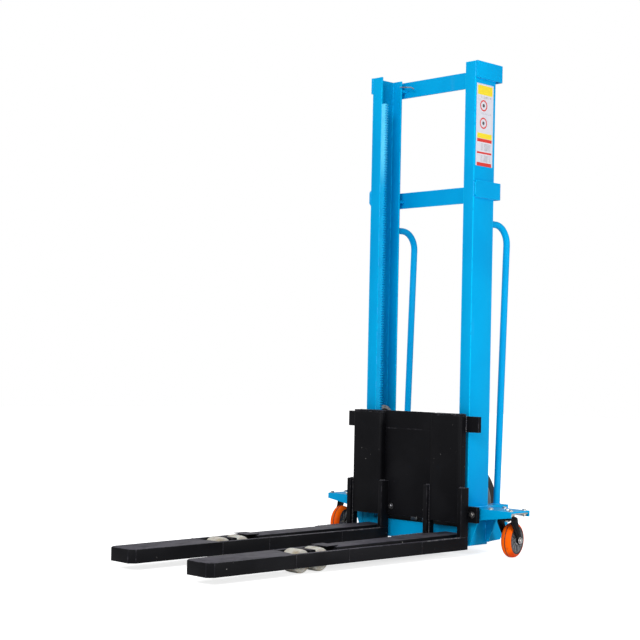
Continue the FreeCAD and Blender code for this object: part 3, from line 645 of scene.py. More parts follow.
edgeWidths = {
    "right_upright": 0.0024, "left_upright": 0.0024, "top_strap": 0.0012, "middle_strap": 0.0012,
    "strap_spacers": 0.001, "gear_rack": 0.0004, "base_beams": 0.001, "side_plates": 0.001,
    "base_brackets": 0.0008, "right_wing": 0.0011, "left_wing": 0.0011, "rear_bridge": 0.001,
    "rear_yoke": 0.0012, "rear_kingpin": 0.001, "rear_axle": 0.001, "crossbars": 0.0012, "backrest": 0.001,
    "right_roller_bracket": 0.001, "left_roller_bracket": 0.001, "drive_bracket": 0.001,
    "gearbox": 0.0016, "pinion": 0.0003, "right_bogie": 0.0008, "left_bogie": 0.0008,
    "right_caster_plate": 0.0008, "left_caster_plate": 0.0008,
    "right_handle": 0.0, "left_handle": 0.0, "info_panel": 0.0002, "batteries": 0.003,
}
for nodeName, width in edgeWidths.items():
    softCopy(nodeName, width, 3 if "upright" in nodeName else 2,
             material=rackPaint() if nodeName == "gear_rack" else None)
print("rolled edges on", len(edgeWidths), "nodes")


forkShape = {"wall": 0.008, "cap": 0.006, "bend": 0.012, "barWidth": 0.018, "barTop": 0.246, "barStep": 0.008,
             "panelLow": 0.120, "bladeTop": 0.070, "shankHalf": 0.072, "tipLength": 0.370, "tipHalf": 0.062,
             "tipRearHalf": 0.067, "cornerX": 0.017, "cornerY": 0.020, "skew": 0.013, "edge": 0.0016}


def forkCentre(side):
    low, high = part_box(side + "_fork")
    return (low.x + high.x) / 2


def makeFork(side):
    low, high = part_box(side + "_fork")
    centre, hand = forkCentre(side), (1 if side == "right" else -1)
    s = forkShape
    rear = low.y + s["tipLength"]
    shankFront = high.y - 0.034
    shape = bmesh.new()

    def mapped(points):
        return [(centre + hand * x, y) for x, y in points]

    def tipOutline(inset):
        return mapped([ (-s["tipRearHalf"] + inset, rear + s["skew"] - inset),
                       (s["tipRearHalf"] - inset, rear - s["skew"] - inset),
                       (s["tipHalf"] - inset, low.y + s["cornerY"] + inset / 2),
                       (s["tipHalf"] - s["cornerX"] - inset / 2, low.y + inset),
                       (-s["tipHalf"] + s["cornerX"] + inset / 2, low.y + inset),
                       (-s["tipHalf"] + inset, low.y + s["cornerY"] + inset / 2)])

    addPocket(shape, tipOutline(0), tipOutline(s["wall"]), low.z, s["bladeTop"], s["bladeTop"] - s["wall"])
    heelIn, heelOut = s["shankHalf"], s["shankHalf"] + s["barWidth"]
    frontY = shankFront - s["barStep"]
    tipIn = s["tipRearHalf"] - s["barWidth"]
    for way in (-1, 1):
        endOut = rear - way * s["skew"]
        endIn = rear - way * s["skew"] * tipIn / s["tipRearHalf"]
        rail = [(way * heelIn, high.y), (way * heelOut, high.y), (way * heelOut, frontY),
                (way * s["tipRearHalf"], endOut), (way * tipIn, endIn), (way * heelIn, frontY)]
        addPrism(shape, mapped(rail), low.z, s["bladeTop"])
        bar = rectangle(min(way * heelIn, way * heelOut), max(way * heelIn, way * heelOut), frontY, high.y)
        addPrism(shape, mapped(bar), s["bladeTop"], s["barTop"])
    shank = roundOff(rectangle(-heelIn, heelIn, shankFront, high.y), [s["bend"], s["bend"], 0, 0])
    inner = rectangle(-heelIn + s["wall"], heelIn - s["wall"], shankFront + s["wall"], high.y)
    inner = roundOff(inner, [0.004, 0.004, 0, 0])
    back = high.y - 1e-5
    outerWall = [p for p in shank if p.y < back]
    innerWall = [p for p in reversed(inner) if p.y < back]
    profile = [Vector((-heelIn + s["wall"], high.y)), Vector((-heelIn, high.y))] + outerWall
    profile += [Vector((heelIn, high.y)), Vector((heelIn - s["wall"], high.y))] + innerWall
    addPrism(shape, mapped(profile), s["panelLow"], high.z - s["cap"])
    addPrism(shape, mapped(shank), high.z - s["cap"], high.z)
    piece = finishPiece(side + "Fork", shape, [forkPowder, edges["black_paint"]], s["edge"], 2, 1)
    return seat(piece, "carriage", "black_paint", side + "_fork")


legShape = {"half": 0.046, "wall": 0.006, "bend": 0.007, "armDrop": 0.010, "pin": 0.008,
            "pinReach": 0.031, "plate": 0.008, "edge": 0.0008}


def makeLeg(side):
    low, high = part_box(side + "_leg")
    centre, s = (low.x + high.x) / 2, legShape
    pivot = Vector(joints[side + "_bogie_tilt"]["pos_m"])
    armLow = low.z
    legLow = low.z + s["armDrop"]
    legEnd = low.y + 0.1275
    outer = roundOff(rectangle(centre - s["half"], centre + s["half"], legLow, high.z),
                     [0, 0, s["bend"], s["bend"]])
    inset = s["half"] - s["wall"]
    inner = rectangle(centre - inset, centre + inset, legLow, high.z - s["wall"])
    channel = outer[1:] + outer[:1] + [Vector(inner[0]), Vector(inner[3]), Vector(inner[2]), Vector(inner[1])]
    shape = bmesh.new()
    addPrism(shape, channel, legEnd, high.y, "y")
    for way in (-1, 1):
        x0, x1 = sorted((centre + way * s["half"], centre + way * inset))
        arm = roundOff(rectangle(low.y, legEnd, armLow, high.z - 0.016), [0.016, 0, 0, 0.010])
        addPrism(shape, arm, x0, x1, "x")
        start = centre + way * inset
        addLathe(shape, [(0, 0), (0, s["pin"]), (inset - s["pinReach"], s["pin"]),
                         (inset - s["pinReach"], 0)], (start, pivot.y, pivot.z), (-way, 0, 0), 28)
    addBox(shape, (centre - inset, high.y - s["plate"], legLow), (centre + inset, high.y, high.z - s["wall"]))
    addBox(shape, (centre - inset, legEnd, armLow), (centre + inset, legEnd + s["wall"], high.z - s["wall"]))
    piece = finishPiece(side + "Leg", shape, [forkPowder, edges["black_paint"]], s["edge"], 2, 1)
    return seat(piece, "chassis", "black_paint", side + "_leg")


rollerShape = {"crown": 0.0008, "corner": 0.004, "recess": 0.006, "raceOuter": 0.0175, "raceInner": 0.0105}


def makeRoller(side, place):
    nodeName = side + "_" + place + "_load_roller"
    low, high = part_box(nodeName)
    middle, half, radius = (low + high) / 2, (high.x - low.x) / 2, (high.z - low.z) / 2
    s = rollerShape
    shape = bmesh.new()
    outline = roundOff([(-half, 0.0075), (-half + s["recess"], 0.0075),
                        (-half + s["recess"], s["raceOuter"]), (-half, s["raceOuter"] + 0.001),
                        (-half, radius - 0.001), (-half * 0.5, radius), (0, radius), (half * 0.5, radius),
                        (half, radius - 0.001), (half, s["raceOuter"] + 0.001),
                        (half - s["recess"], s["raceOuter"]), (half - s["recess"], 0.0075),
                        (half, 0.0075)], [0, 0, 0, 0.001, s["corner"], 0, 0, 0, s["corner"], 0.001, 0, 0,
                                          0], 4)
    outline = [p for p in outline if not (p.y < 0.008 and abs(p.x) > half - 0.001)]
    addLathe(shape, [(p.x, max(p.y, 0.0085)) for p in outline], middle, (1, 0, 0), 72)
    for way in (-1, 1):
        face = half - s["recess"] * 0.35
        for inner, outer, index in ((s["raceInner"] + 0.001, s["raceOuter"] - 0.0018, 2),
                                    (s["raceOuter"] - 0.0018, s["raceOuter"] - 0.0002, 1),
                                    (0.0088, s["raceInner"] + 0.001, 1)):
            ring = [(way * (face - 0.002), inner), (way * (face - (0.0006 if index == 2 else 0)), inner),
                    (way * (face - (0.0006 if index == 2 else 0)), outer), (way * (face - 0.002), outer)]
            addLathe(shape, ring, middle, (1, 0, 0), 48, index)
    piece = finishPiece(camel(nodeName), shape, [finishes["cream_nylon"], finishes["steel"], darkSeal])
    return seat(piece, side + "_" + place + "_roller", "cream_nylon", nodeName)


def makeGuide(side, place):
    nodeName = side + "_" + place + "_guide_roller"
    low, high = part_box(nodeName)
    middle, half, radius = (low + high) / 2, (high.x - low.x) / 2, (high.z - low.z) / 2
    shape = bmesh.new()
    tread = roundOff([(-half, radius * 0.72), (-half, radius), (half, radius), (half, radius * 0.72)],
                     [0.001, 0.002, 0.002, 0.001], 3)
    addLathe(shape, [(p.x, p.y) for p in tread], middle, (1, 0, 0), 80)
    addLathe(shape, [(-half + 0.003, 0.022), (-half + 0.003, radius * 0.72), (half - 0.003, radius * 0.72),
                     (half - 0.003, 0.022)], middle, (1, 0, 0), 64, 1)
    addLathe(shape, [(-half, 0.0152), (-half, 0.022), (half, 0.022), (half, 0.0152)], middle, (1, 0, 0), 48)
    piece = finishPiece(camel(nodeName), shape, [finishes["steel"], darkSeal])
    return seat(piece, bodyOfNode[nodeName], "steel", nodeName)


for side in ("right", "left"):
    makeFork(side)
    makeLeg(side)
    for place in ("front", "rear"):
        makeRoller(side, place)
    for place in ("upper", "lower"):
        makeGuide(side, place)
print("forks, legs and rollers made")


casterShape = {"radius": 0.0625, "half": 0.020, "treadDepth": 0.0125, "crown": 0.0015, "groove": 0.0022,
               "legIn": 0.025, "legThick": 0.004, "crownZ": 0.148, "crownRadius": 0.036, "legEnd": 0.0155,
               "axleHead": 0.0105, "edge": 0.0008}


def casterFrame(side):  # the caster's own axes: x along its axle, y along its trail
    swivel, roll = joints[side + "_caster_swivel"], joints[side + "_caster_roll"]
    along = Vector(roll["axis"]).normalized()
    back = Vector((0, 0, 1)).cross(along)
    place = Vector((swivel["pos_m"][0], swivel["pos_m"][1], 0))
    turn = Matrix((along, back, Vector((0, 0, 1)))).transposed().to_4x4()
    trail = (Vector((roll["pos_m"][0], roll["pos_m"][1], 0)) - place).length
    return Matrix.Translation(place) @ turn, trail


def makeCasterFork(side):
    place, trail = casterFrame(side)
    s = casterShape
    top = s["crownZ"]
    shape = bmesh.new()
    crown = [(top - 0.0045, 0.0068), (top - 0.0045, s["crownRadius"] - 0.006),
             (top - 0.010, s["crownRadius"] - 0.001), (top - 0.009, s["crownRadius"]),
             (top - 0.002, s["crownRadius"] - 0.0015), (top, s["crownRadius"] - 0.005),
             (top + 0.002, 0.026), (top + 0.004, 0.024), (top + 0.004, 0.0068)]
    addLathe(shape, crown, (0, 0, 0), (0, 0, 1), 72)
    for way in (-1, 1):
        outline = roundOff( [(-0.020, top - 0.004), (-0.021, top - 0.020),
                             (trail - s["legEnd"], s["radius"] + 0.006),
                             (trail - s["legEnd"], s["radius"] - s["legEnd"]),
                             (trail + s["legEnd"], s["radius"] - s["legEnd"]),
                             (trail + s["legEnd"], s["radius"] + 0.010), (0.030, top - 0.024),
                             (0.024, top - 0.004)], [0, 0.008, 0.02, s["legEnd"] * 0.98,
                s["legEnd"] * 0.98, 0.03, 0.02, 0], 6)
        x0, x1 = sorted((way * s["legIn"], way * (s["legIn"] + s["legThick"])))
        addPrism(shape, outline, x0, x1, "x")
        rib = roundOff([(-0.012, top - 0.018), (trail - 0.005, s["radius"] + 0.016),
                        (trail + 0.006, s["radius"] + 0.018), (0.016, top - 0.018)], 0.003, 3)
        x0, x1 = sorted((way * (s["legIn"] + s["legThick"]), way * (s["legIn"] + s["legThick"] + 0.0012)))
        addPrism(shape, rib, x0, x1, "x")
    shape.transform(place)
    piece = finishPiece(side + "CasterFork", shape, [finishes["black_paint"], edges["black_paint"]],
                        s["edge"], 2, 1)
    return seat(piece, side + "_caster", "black_paint", side + "_caster_fork")


def makeCasterWheel(side):
    place, trail = casterFrame(side)
    s = casterShape
    radius, half, inner = s["radius"], s["half"], s["radius"] - s["treadDepth"]
    shape = bmesh.new()
    crowned = []
    for i in range(15):  # crowned tread with a fine parting groove in the middle
        along = -1 + 2 * i / 14
        crowned.append((along * half * 0.97, radius - 0.0105 * abs(along) ** 3.2))
    crowned[7:8] = [(-0.0018, radius), (-0.0014, radius - s["groove"]), (0.0014, radius - s["groove"]),
                    (0.0018, radius)]
    tyre = [(-half * 0.97, inner)] + crowned + [(half * 0.97, inner)]
    addLathe(shape, tyre, (0, trail, radius), (1, 0, 0), 96)
    stripe = [(-0.0013, radius - 0.0035), (-0.0013, radius - 0.0005), (0.0013, radius - 0.0005),
              (0.0013, radius - 0.0035)]
    addLathe(shape, stripe, (0, trail, radius), (1, 0, 0), 96, 2)
    for way in (-1, 1):
        seal = [(way * half * 0.90, inner - 0.006), (way * half * 0.955, inner - 0.005),
                (way * half * 0.955, inner + 0.0004), (way * half * 0.90, inner + 0.0004)]
        addLathe(shape, seal, (0, trail, radius), (1, 0, 0), 72, 2)
        cap = [(way * half * 0.7, 0.0062), (way * half * 1.08, 0.0062), (way * half * 1.08, 0.0125),
               (way * half * 1.0, 0.0150), (way * half * 0.7, 0.0150)]
        addLathe(shape, cap, (0, trail, radius), (1, 0, 0), 40, 3)
        for k in range(10):  # raised ribs between the hub's boss and its rim
            angle = 2 * math.pi * k / 10
            rib = bmesh.new()
            addBox(rib, (half * 0.62, 0.015, -0.0016), (half * 0.90, inner - 0.007, 0.0016), 1)
            for face in rib.faces:
                face.material_index = 1
            turn = Matrix.Rotation(angle, 4, "X")
            flip = Matrix.Scale(way, 4, (1, 0, 0))
            rib.transform(Matrix.Translation((0, trail, radius)) @ turn @ flip)
            mesh = bpy.data.meshes.new("rib")
            rib.to_mesh(mesh)
            rib.free()
            shape.from_mesh(mesh)
            bpy.data.meshes.remove(mesh)
    hub = [(-half * 0.92, inner - 0.006), (-half * 0.62, inner - 0.009), (-half * 0.62, 0.0145),
           (-half * 0.95, 0.0145), (-half * 0.95, 0.0062), (half * 0.95, 0.0062), (half * 0.95, 0.0145),
           (half * 0.62, 0.0145), (half * 0.62, inner - 0.009), (half * 0.92, inner - 0.006),
           (half * 0.92, inner + 0.0002), (-half * 0.92, inner + 0.0002)]
    addLathe(shape, hub, (0, trail, radius), (1, 0, 0), 72, 1)
    shape.transform(place)
    piece = finishPiece(side + "CasterWheel", shape,
                        [finishes["orange_tyre"], hubGrey, darkSeal, finishes["zinc"]])
    return seat(piece, side + "_caster_wheel", "orange_tyre", side + "_caster_wheel")


def makeCasterAxle(side):
    place, trail = casterFrame(side)
    s = casterShape
    outer = s["legIn"] + s["legThick"]
    shape = bmesh.new()
    addLathe(shape, [(-outer - 0.009, 0), (-outer - 0.009, 0.0052), (-outer - 0.0082, 0.006),
                     (outer + 0.002, 0.006), (outer + 0.002, 0)], (0, trail, s["radius"]), (1, 0, 0), 24)
    for start, length in ((outer + 0.0014, 0.0056), (-outer - 0.0014 - 0.0062, 0.0062)):
        points = [(math.cos(math.pi / 3 * i) * s["axleHead"] + trail,
                   math.sin(math.pi / 3 * i) * s["axleHead"] + s["radius"]) for i in range(6)]
        addPrism(shape, points, start, start + length, "x")
    for way in (-1, 1):
        washer = [(way * outer, 0.0061), (way * (outer + 0.0014), 0.0061), (way * (outer + 0.0014), 0.0125),
                  (way * outer, 0.0125)]
        addLathe(shape, washer, (0, trail, s["radius"]), (1, 0, 0), 36)
    shape.transform(place)
    piece = finishPiece(side + "CasterAxle", shape, [finishes["zinc"]], 0.0006)
    return seat(piece, side + "_caster", "zinc", side + "_caster_axle")


for side in ("right", "left"):
    makeCasterFork(side)
    makeCasterWheel(side)
    makeCasterAxle(side)
print("casters made")


def growBolts(name, spots, sizes, facing, body, finish=None):
    return growOn(name, spots, [], "bolt", { "Head Radius": sizes[0], "Head Height": sizes[1],
                                            "Washer Radius": sizes[2], "Washer Height": sizes[3],
                                            "Facing": facing, "Finish": finish or finishes["zinc"]}, body,
                  "zinc")


wheelShape = {"tyreDepth": 0.038, "shoulder": 0.014, "grooves": (-0.014, 0.014), "grooveWidth": 0.004,
              "grooveDepth": 0.005, "nutCircle": 0.052, "nuts": 5, "hubRadius": 0.034, "web": 0.016,
              "bore": 0.0125}


def makeRearWheel():
    low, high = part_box("rear_tyre")
    centre = Vector(joints["rear_roll"]["pos_m"])
    half, radius = (high.x - low.x) / 2, (high.z - low.z) / 2
    s = wheelShape
    inner = radius - s["tyreDepth"]
    tread = [(-half, inner), (-half, radius - s["shoulder"]),
             (-half + s["shoulder"] * 0.3, radius - s["shoulder"] * 0.3), (-half + s["shoulder"], radius)]
    for middle in s["grooves"]:
        w, d = s["grooveWidth"] / 2, s["grooveDepth"]
        tread += [(middle - w, radius), (middle - w * 0.6, radius - d), (middle + w * 0.6, radius - d),
                  (middle + w, radius)]
    tread += [(half - s["shoulder"], radius), (half - s["shoulder"] * 0.3, radius - s["shoulder"] * 0.3),
              (half, radius - s["shoulder"]), (half, inner)]
    shape = bmesh.new()
    addLathe(shape, tread, centre, (1, 0, 0), 120)
    tyre = finishPiece("rearTyre", shape, [finishes["black_rubber"]], 0.0006, 1)
    seat(tyre, "rear_wheel", "black_rubber", "rear_tyre")
    shape = bmesh.new()
    disc = [(-half, inner - 0.006), (-half + s["web"], inner - 0.014), (-half + s["web"], s["hubRadius"]),
            (-half, s["hubRadius"] - 0.002), (-half, s["bore"]), (half, s["bore"]),
            (half, s["hubRadius"] - 0.002), (half - s["web"], s["hubRadius"]),
            (half - s["web"], inner - 0.014), (half, inner - 0.006), (half, inner - 0.0002),
            (-half, inner - 0.0002)]
    addLathe(shape, disc, centre, (1, 0, 0), 96)
    rim = finishPiece("rearWheelRim", shape, [finishes["rim_grey"]], 0.001)
    seat(rim, "rear_wheel", "rim_grey", "rear_wheel_rim")
    for name, way in (("rimNutsRight", 1), ("rimNutsLeft", -1)):
        spots = []
        for k in range(s["nuts"]):
            angle = 2 * math.pi * k / s["nuts"]
            spots.append((centre.x + way * (half - s["web"]), centre.y + math.cos(angle) * s["nutCircle"],
                          centre.z + math.sin(angle) * s["nutCircle"]))
        growBolts(name, spots, (0.0075, 0.006, 0.0095, 0.0015), (way, 0, 0), "rear_wheel")


makeRearWheel()
print("rear wheel made")


boxShape = {"wall": 0.003, "bend": 0.008, "louvres": 9, "louvrePitch": 0.011,
            "louvreSize": (0.090, 0.0030, 0.0060), "rimHeight": 0.004, "louvreLow": 0.045,
            "socketHeight": 0.095, "panelInset": 0.022}


trayShape = {"front": 0.034, "back": 0.110, "bottom": 0.048, "top": 0.128, "lip": 0.100, "sheet": 0.003,
             "inset": 0.002, "clips": (-0.045, 0.010), "clipWidth": 0.030}


def roundedPocket(low, high, wall, bend, openAt, closedAt):
    shape = bmesh.new()
    outer = roundOff(rectangle(low.x, high.x, low.y, high.y), bend)
    inner = roundOff(rectangle(low.x + wall, high.x - wall, low.y + wall, high.y - wall), bend - wall)
    floorAt = closedAt + (wall if openAt > closedAt else -wall)
    addPocket(shape, outer, inner, openAt, closedAt, floorAt)
    return shape


def makePowerBox():
    s = boxShape
    low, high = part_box("power_box")
    shape = roundedPocket(low, high, s["wall"], s["bend"], high.z, low.z)
    body = finishPiece("powerBox", shape, [finishes["box_plastic"]], 0.0012)
    seat(body, "chassis", "box_plastic", "power_box")
    lidLow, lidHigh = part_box("power_box_lid")
    shape = roundedPocket(lidLow, lidHigh, s["wall"], s["bend"], lidLow.z, lidHigh.z - s["rimHeight"])
    panel = roundOff(rectangle(lidLow.x + s["panelInset"], lidHigh.x - s["panelInset"],
                               lidLow.y + s["panelInset"] / 2, lidHigh.y - s["panelInset"] / 2), 0.010)
    addPrism(shape, panel, lidHigh.z - s["rimHeight"], lidHigh.z)
    lid = finishPiece("powerBoxLid", shape, [finishes["box_plastic"]], 0.0012)
    seat(lid, "chassis", "box_plastic", "power_box_lid")
    shape = bmesh.new()
    addPrism(shape, roundOff(rectangle(lidLow.x, lidHigh.x, lidLow.y, lidHigh.y), s["bend"]),
             lidLow.z - 0.0012, lidLow.z + 0.0012)
    seal = finishPiece("lidSeal", shape, [darkSeal])
    seat(seal, "chassis", "box_plastic")
    for name, centreX in (("louvresRight", high.x * 0.5), ("louvresLeft", low.x * 0.5)):
        spots = [(centreX, high.y + 0.0006, low.z + s["louvreLow"] + s["louvrePitch"] * k)
                 for k in range(s["louvres"])]
        growOn(name, spots, [], "slat", {"Size": s["louvreSize"], "Tilt": (-0.6, 0, 0),
               "Finish": finishes["box_plastic"]}, "chassis", "box_plastic")
    corners = [(x, y, lidHigh.z - s["rimHeight"]) for x in (lidLow.x + 0.010, lidHigh.x - 0.010)
               for y in (lidLow.y + 0.012, lidHigh.y - 0.012)]
    growBolts("lidScrews", corners, (0.0045, 0.003, 0.006, 0.0008), (0, 0, 1), "chassis")
    shape = bmesh.new()  # charging socket on the rear face
    middle = Vector((0, high.y, low.z + s["socketHeight"]))
    addLathe(shape, [(0, 0), (0, 0.017), (0.003, 0.017), (0.004, 0.015), (0.0022, 0.0135), (0.0022, 0)],
             middle, (0, 1, 0), 48)
    for k in range(3):
        angle = 2 * math.pi * k / 3
        pin = middle + Vector((math.cos(angle) * 0.006, 0, math.sin(angle) * 0.006))
        addLathe(shape, [(0.002, 0), (0.002, 0.0016), (0.0038, 0.0016), (0.0038, 0)], pin, (0, 1, 0), 14, 1)
    socket = finishPiece("chargeSocket", shape, [darkSeal, finishes["steel"]])
    seat(socket, "chassis", "box_plastic")
    shape = bmesh.new()  # dark tray behind the front plate, seen between the forks
    beamLow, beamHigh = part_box("base_beams")
    front, back = beamLow.y + trayShape["front"], beamLow.y + trayShape["back"]
    bottom, top, sheet = trayShape["bottom"], trayShape["top"], trayShape["sheet"]
    tray = [(front, bottom), (front, top), (back, top), (back, trayShape["lip"]),
            (back - sheet, trayShape["lip"]), (back - sheet, top - sheet), (front + sheet, top - sheet),
            (front + sheet, bottom)]
    addPrism(shape, tray, beamLow.x + trayShape["inset"], beamHigh.x - trayShape["inset"], "x")
    seat(finishPiece("cableTray", shape, [finishes["box_plastic"]], 0.0006), "chassis", "box_plastic")
    shape = bmesh.new()
    for x in trayShape["clips"]:
        clip = roundOff(rectangle(x, x + trayShape["clipWidth"], 0.0985, 0.1185), 0.002)
        addPrism(shape, clip, beamLow.y + 0.0325, beamLow.y + 0.0342, "y")
    seat(finishPiece("trayClips", shape, [finishes["zinc"]], 0.0003), "chassis", "zinc")


makePowerBox()


def makeControls():
    softCopy("control_box", 0.0012)
    softCopy("key_switch", 0.0006)
    low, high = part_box("emergency_stop")
    middle = (low + high) / 2
    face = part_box("control_box")[1].y - 0.006
    shape = bmesh.new()
    head = high.y - face
    addLathe(shape, [(-0.016, 0), (-0.016, 0.0108), (head - 0.010, 0.0108), (head - 0.0095, 0.0185),
                     (head - 0.006, 0.020), (head - 0.003, 0.0195), (head - 0.001, 0.0165), (head, 0.010),
                     (head, 0)], (middle.x, face, middle.z), (0, 1, 0), 64)
    stop = finishPiece("emergencyStop", shape, [finishes["stop_red"]], sharp=40)
    seat(stop, "emergency_stop", "stop_red", "emergency_stop")
    shape = bmesh.new()
    addLathe(shape, [(0.0, 0.0118), (0.0, 0.026), (0.0012, 0.026), (0.0016, 0.0255), (0.0016, 0.0118)],
             (middle.x, face, middle.z), (0, 1, 0), 64)
    seat(finishPiece("stopPlate", shape, [signalYellow]), "chassis", "box_plastic")
    shape = bmesh.new()
    for nodeName in ("raise_button", "lower_button"):
        low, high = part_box(nodeName)
        spot = (low + high) / 2
        addLathe(shape, [(0.0, 0.0112), (0.0, 0.0145), (0.0035, 0.0145), (0.0045, 0.0135), (0.0045, 0.0112)],
                 (spot.x, face, spot.z), (0, 1, 0), 48)
        button = bmesh.new()
        reach = high.y - face
        addLathe(button, [(-0.012, 0), (-0.012, 0.0106), (reach - 0.001, 0.0106), (reach, 0.0095),
                          (reach - 0.0008, 0.007), (reach - 0.0012, 0)], (spot.x, face, spot.z), (0, 1, 0),
                 48)
        piece = finishPiece(camel(nodeName), button, [finishes["button_green"]])
        seat(piece, bodyOfNode[nodeName], "button_green", nodeName)
    seat(finishPiece("buttonBezels", shape, [finishes["zinc"]]), "chassis", "zinc")


makeControls()


motorShape = {"flange": 0.008, "can": 0.034, "flangeRadius": 0.0378, "finRadius": 0.0365,
              "finPitch": 0.006, "cap": 0.016}


def makeMotor():
    low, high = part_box("lift_motor")
    middle, s = (low + high) / 2, motorShape
    length = high.x - low.x
    shape = bmesh.new()
    body = [(0, 0), (0, s["flangeRadius"]), (s["flange"], s["flangeRadius"]),
            (s["flange"] + 0.001, s["can"] - 0.001), (length - s["cap"], s["can"] - 0.001),
            (length - s["cap"] + 0.003, s["can"] - 0.003), (length - s["cap"] + 0.003, 0.026),
            (length - 0.003, 0.025), (length, 0.021), (length, 0)]
    addLathe(shape, body, (low.x, middle.y, middle.z), (1, 0, 0), 64)
    boxLow = (low.x + 0.045, middle.y - 0.016, middle.z + s["can"] - 0.006)
    outline = roundOff(rectangle(boxLow[0], boxLow[0] + 0.055, boxLow[1], boxLow[1] + 0.032), 0.004)
    addPrism(shape, outline, boxLow[2], high.z - 0.0002)
    motor = finishPiece("liftMotor", shape, [finishes["gearbox_grey"]], 0.0008)
    seat(motor, "carriage", "gearbox_grey", "lift_motor")
    count = int((length - s["flange"] - s["cap"] - 0.012) / s["finPitch"])
    spots = [(low.x + s["flange"] + 0.008 + s["finPitch"] * k, middle.y, middle.z) for k in range(count)]
    growOn("motorFins", spots, [], "disc", {"Disc Radius": s["finRadius"], "Thickness": 0.0016, "Sides": 56,
           "Facing": (1, 0, 0), "Finish": finishes["gearbox_grey"]}, "carriage", "gearbox_grey")
    gearLow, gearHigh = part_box("gearbox")
    spots = [(x, gearHigh.y, z) for x in (gearLow.x + 0.014, gearHigh.x - 0.014)
             for z in (gearLow.z + 0.014, gearHigh.z - 0.014)]
    growBolts("gearboxBolts", spots, (0.0055, 0.004, 0.0075, 0.0012), (0, 1, 0), "carriage")


makeMotor()
print("power box, controls and motor made")


boltShape = {"spacingX": 0.088, "spacingY": 0.078, "forkOuter": 0.300, "forkInner": 0.086, "plate": 0.005,
             "caster": (0.0078, 0.0052, 0.0098, 0.0014), "fork": (0.0088, 0.0070, 0.0125, 0.0020),
             "stud": 0.006, "panelStep": 0.006}


def makeBolts():
    s = boltShape
    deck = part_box("right_wing")[1].z
    spots = []
    for side in ("right", "left"):
        low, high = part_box(side + "_caster_plate")
        middle = (low + high) / 2
        spots += [(middle.x + i * s["spacingX"] / 2, middle.y + j * s["spacingY"] / 2) for i in (-1, 1)
                  for j in (-1, 1)]
    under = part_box("right_caster_plate")[1].z - s["plate"]
    sizes = s["caster"]
    heads = growBolts("casterBolts", [(x, y, deck) for x, y in spots], sizes, (0, 0, 1), "chassis")
    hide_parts("caster_bolts")
    growBolts("casterNuts", [(x, y, under) for x, y in spots], sizes, (0, 0, -1), "chassis")
    growOn("casterBoltEnds", [(x, y, under - s["stud"]) for x, y in spots], [], "disc",
           { "Disc Radius": 0.004, "Thickness": 0.008, "Sides": 20, "Facing": (0, 0, 1),
            "Finish": finishes["zinc"]}, "chassis", "zinc")
    low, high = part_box("fork_bolts")
    height = (low.z + high.z) / 2
    spots = [(way * s["forkOuter"], high.y, height) for way in (-1, 1)]
    spots += [(way * s["forkInner"], high.y - s["panelStep"], height) for way in (-1, 1)]
    made = growBolts("forkBolts", spots, s["fork"], (0, -1, 0), "carriage", darkZinc)
    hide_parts("fork_bolts")


makeBolts()


def makeSeam(name, lines, radius, spacing, finish, body, slotName):
    points, links = [], []
    for line in lines:
        for k, point in enumerate(line):
            if k:
                links.append((len(points) - 1, len(points)))
            points.append(point)
    return growOn(name, points, links, "bead", {"Bead Radius": radius, "Spacing": spacing,
                                                "Seed": len(points), "Finish": finish}, body, slotName)


def circle(centre, radius, first, second, steps=28):
    return [Vector(centre) + Vector(first) * math.cos(2 * math.pi * k / steps) * radius
            + Vector(second) * math.sin(2 * math.pi * k / steps) * radius for k in range(steps + 1)]


seamShape = {"stitchPitch": 0.094, "stitchLength": 0.026, "railSeams": (-0.243, 0.107), "heelRun": 0.17}


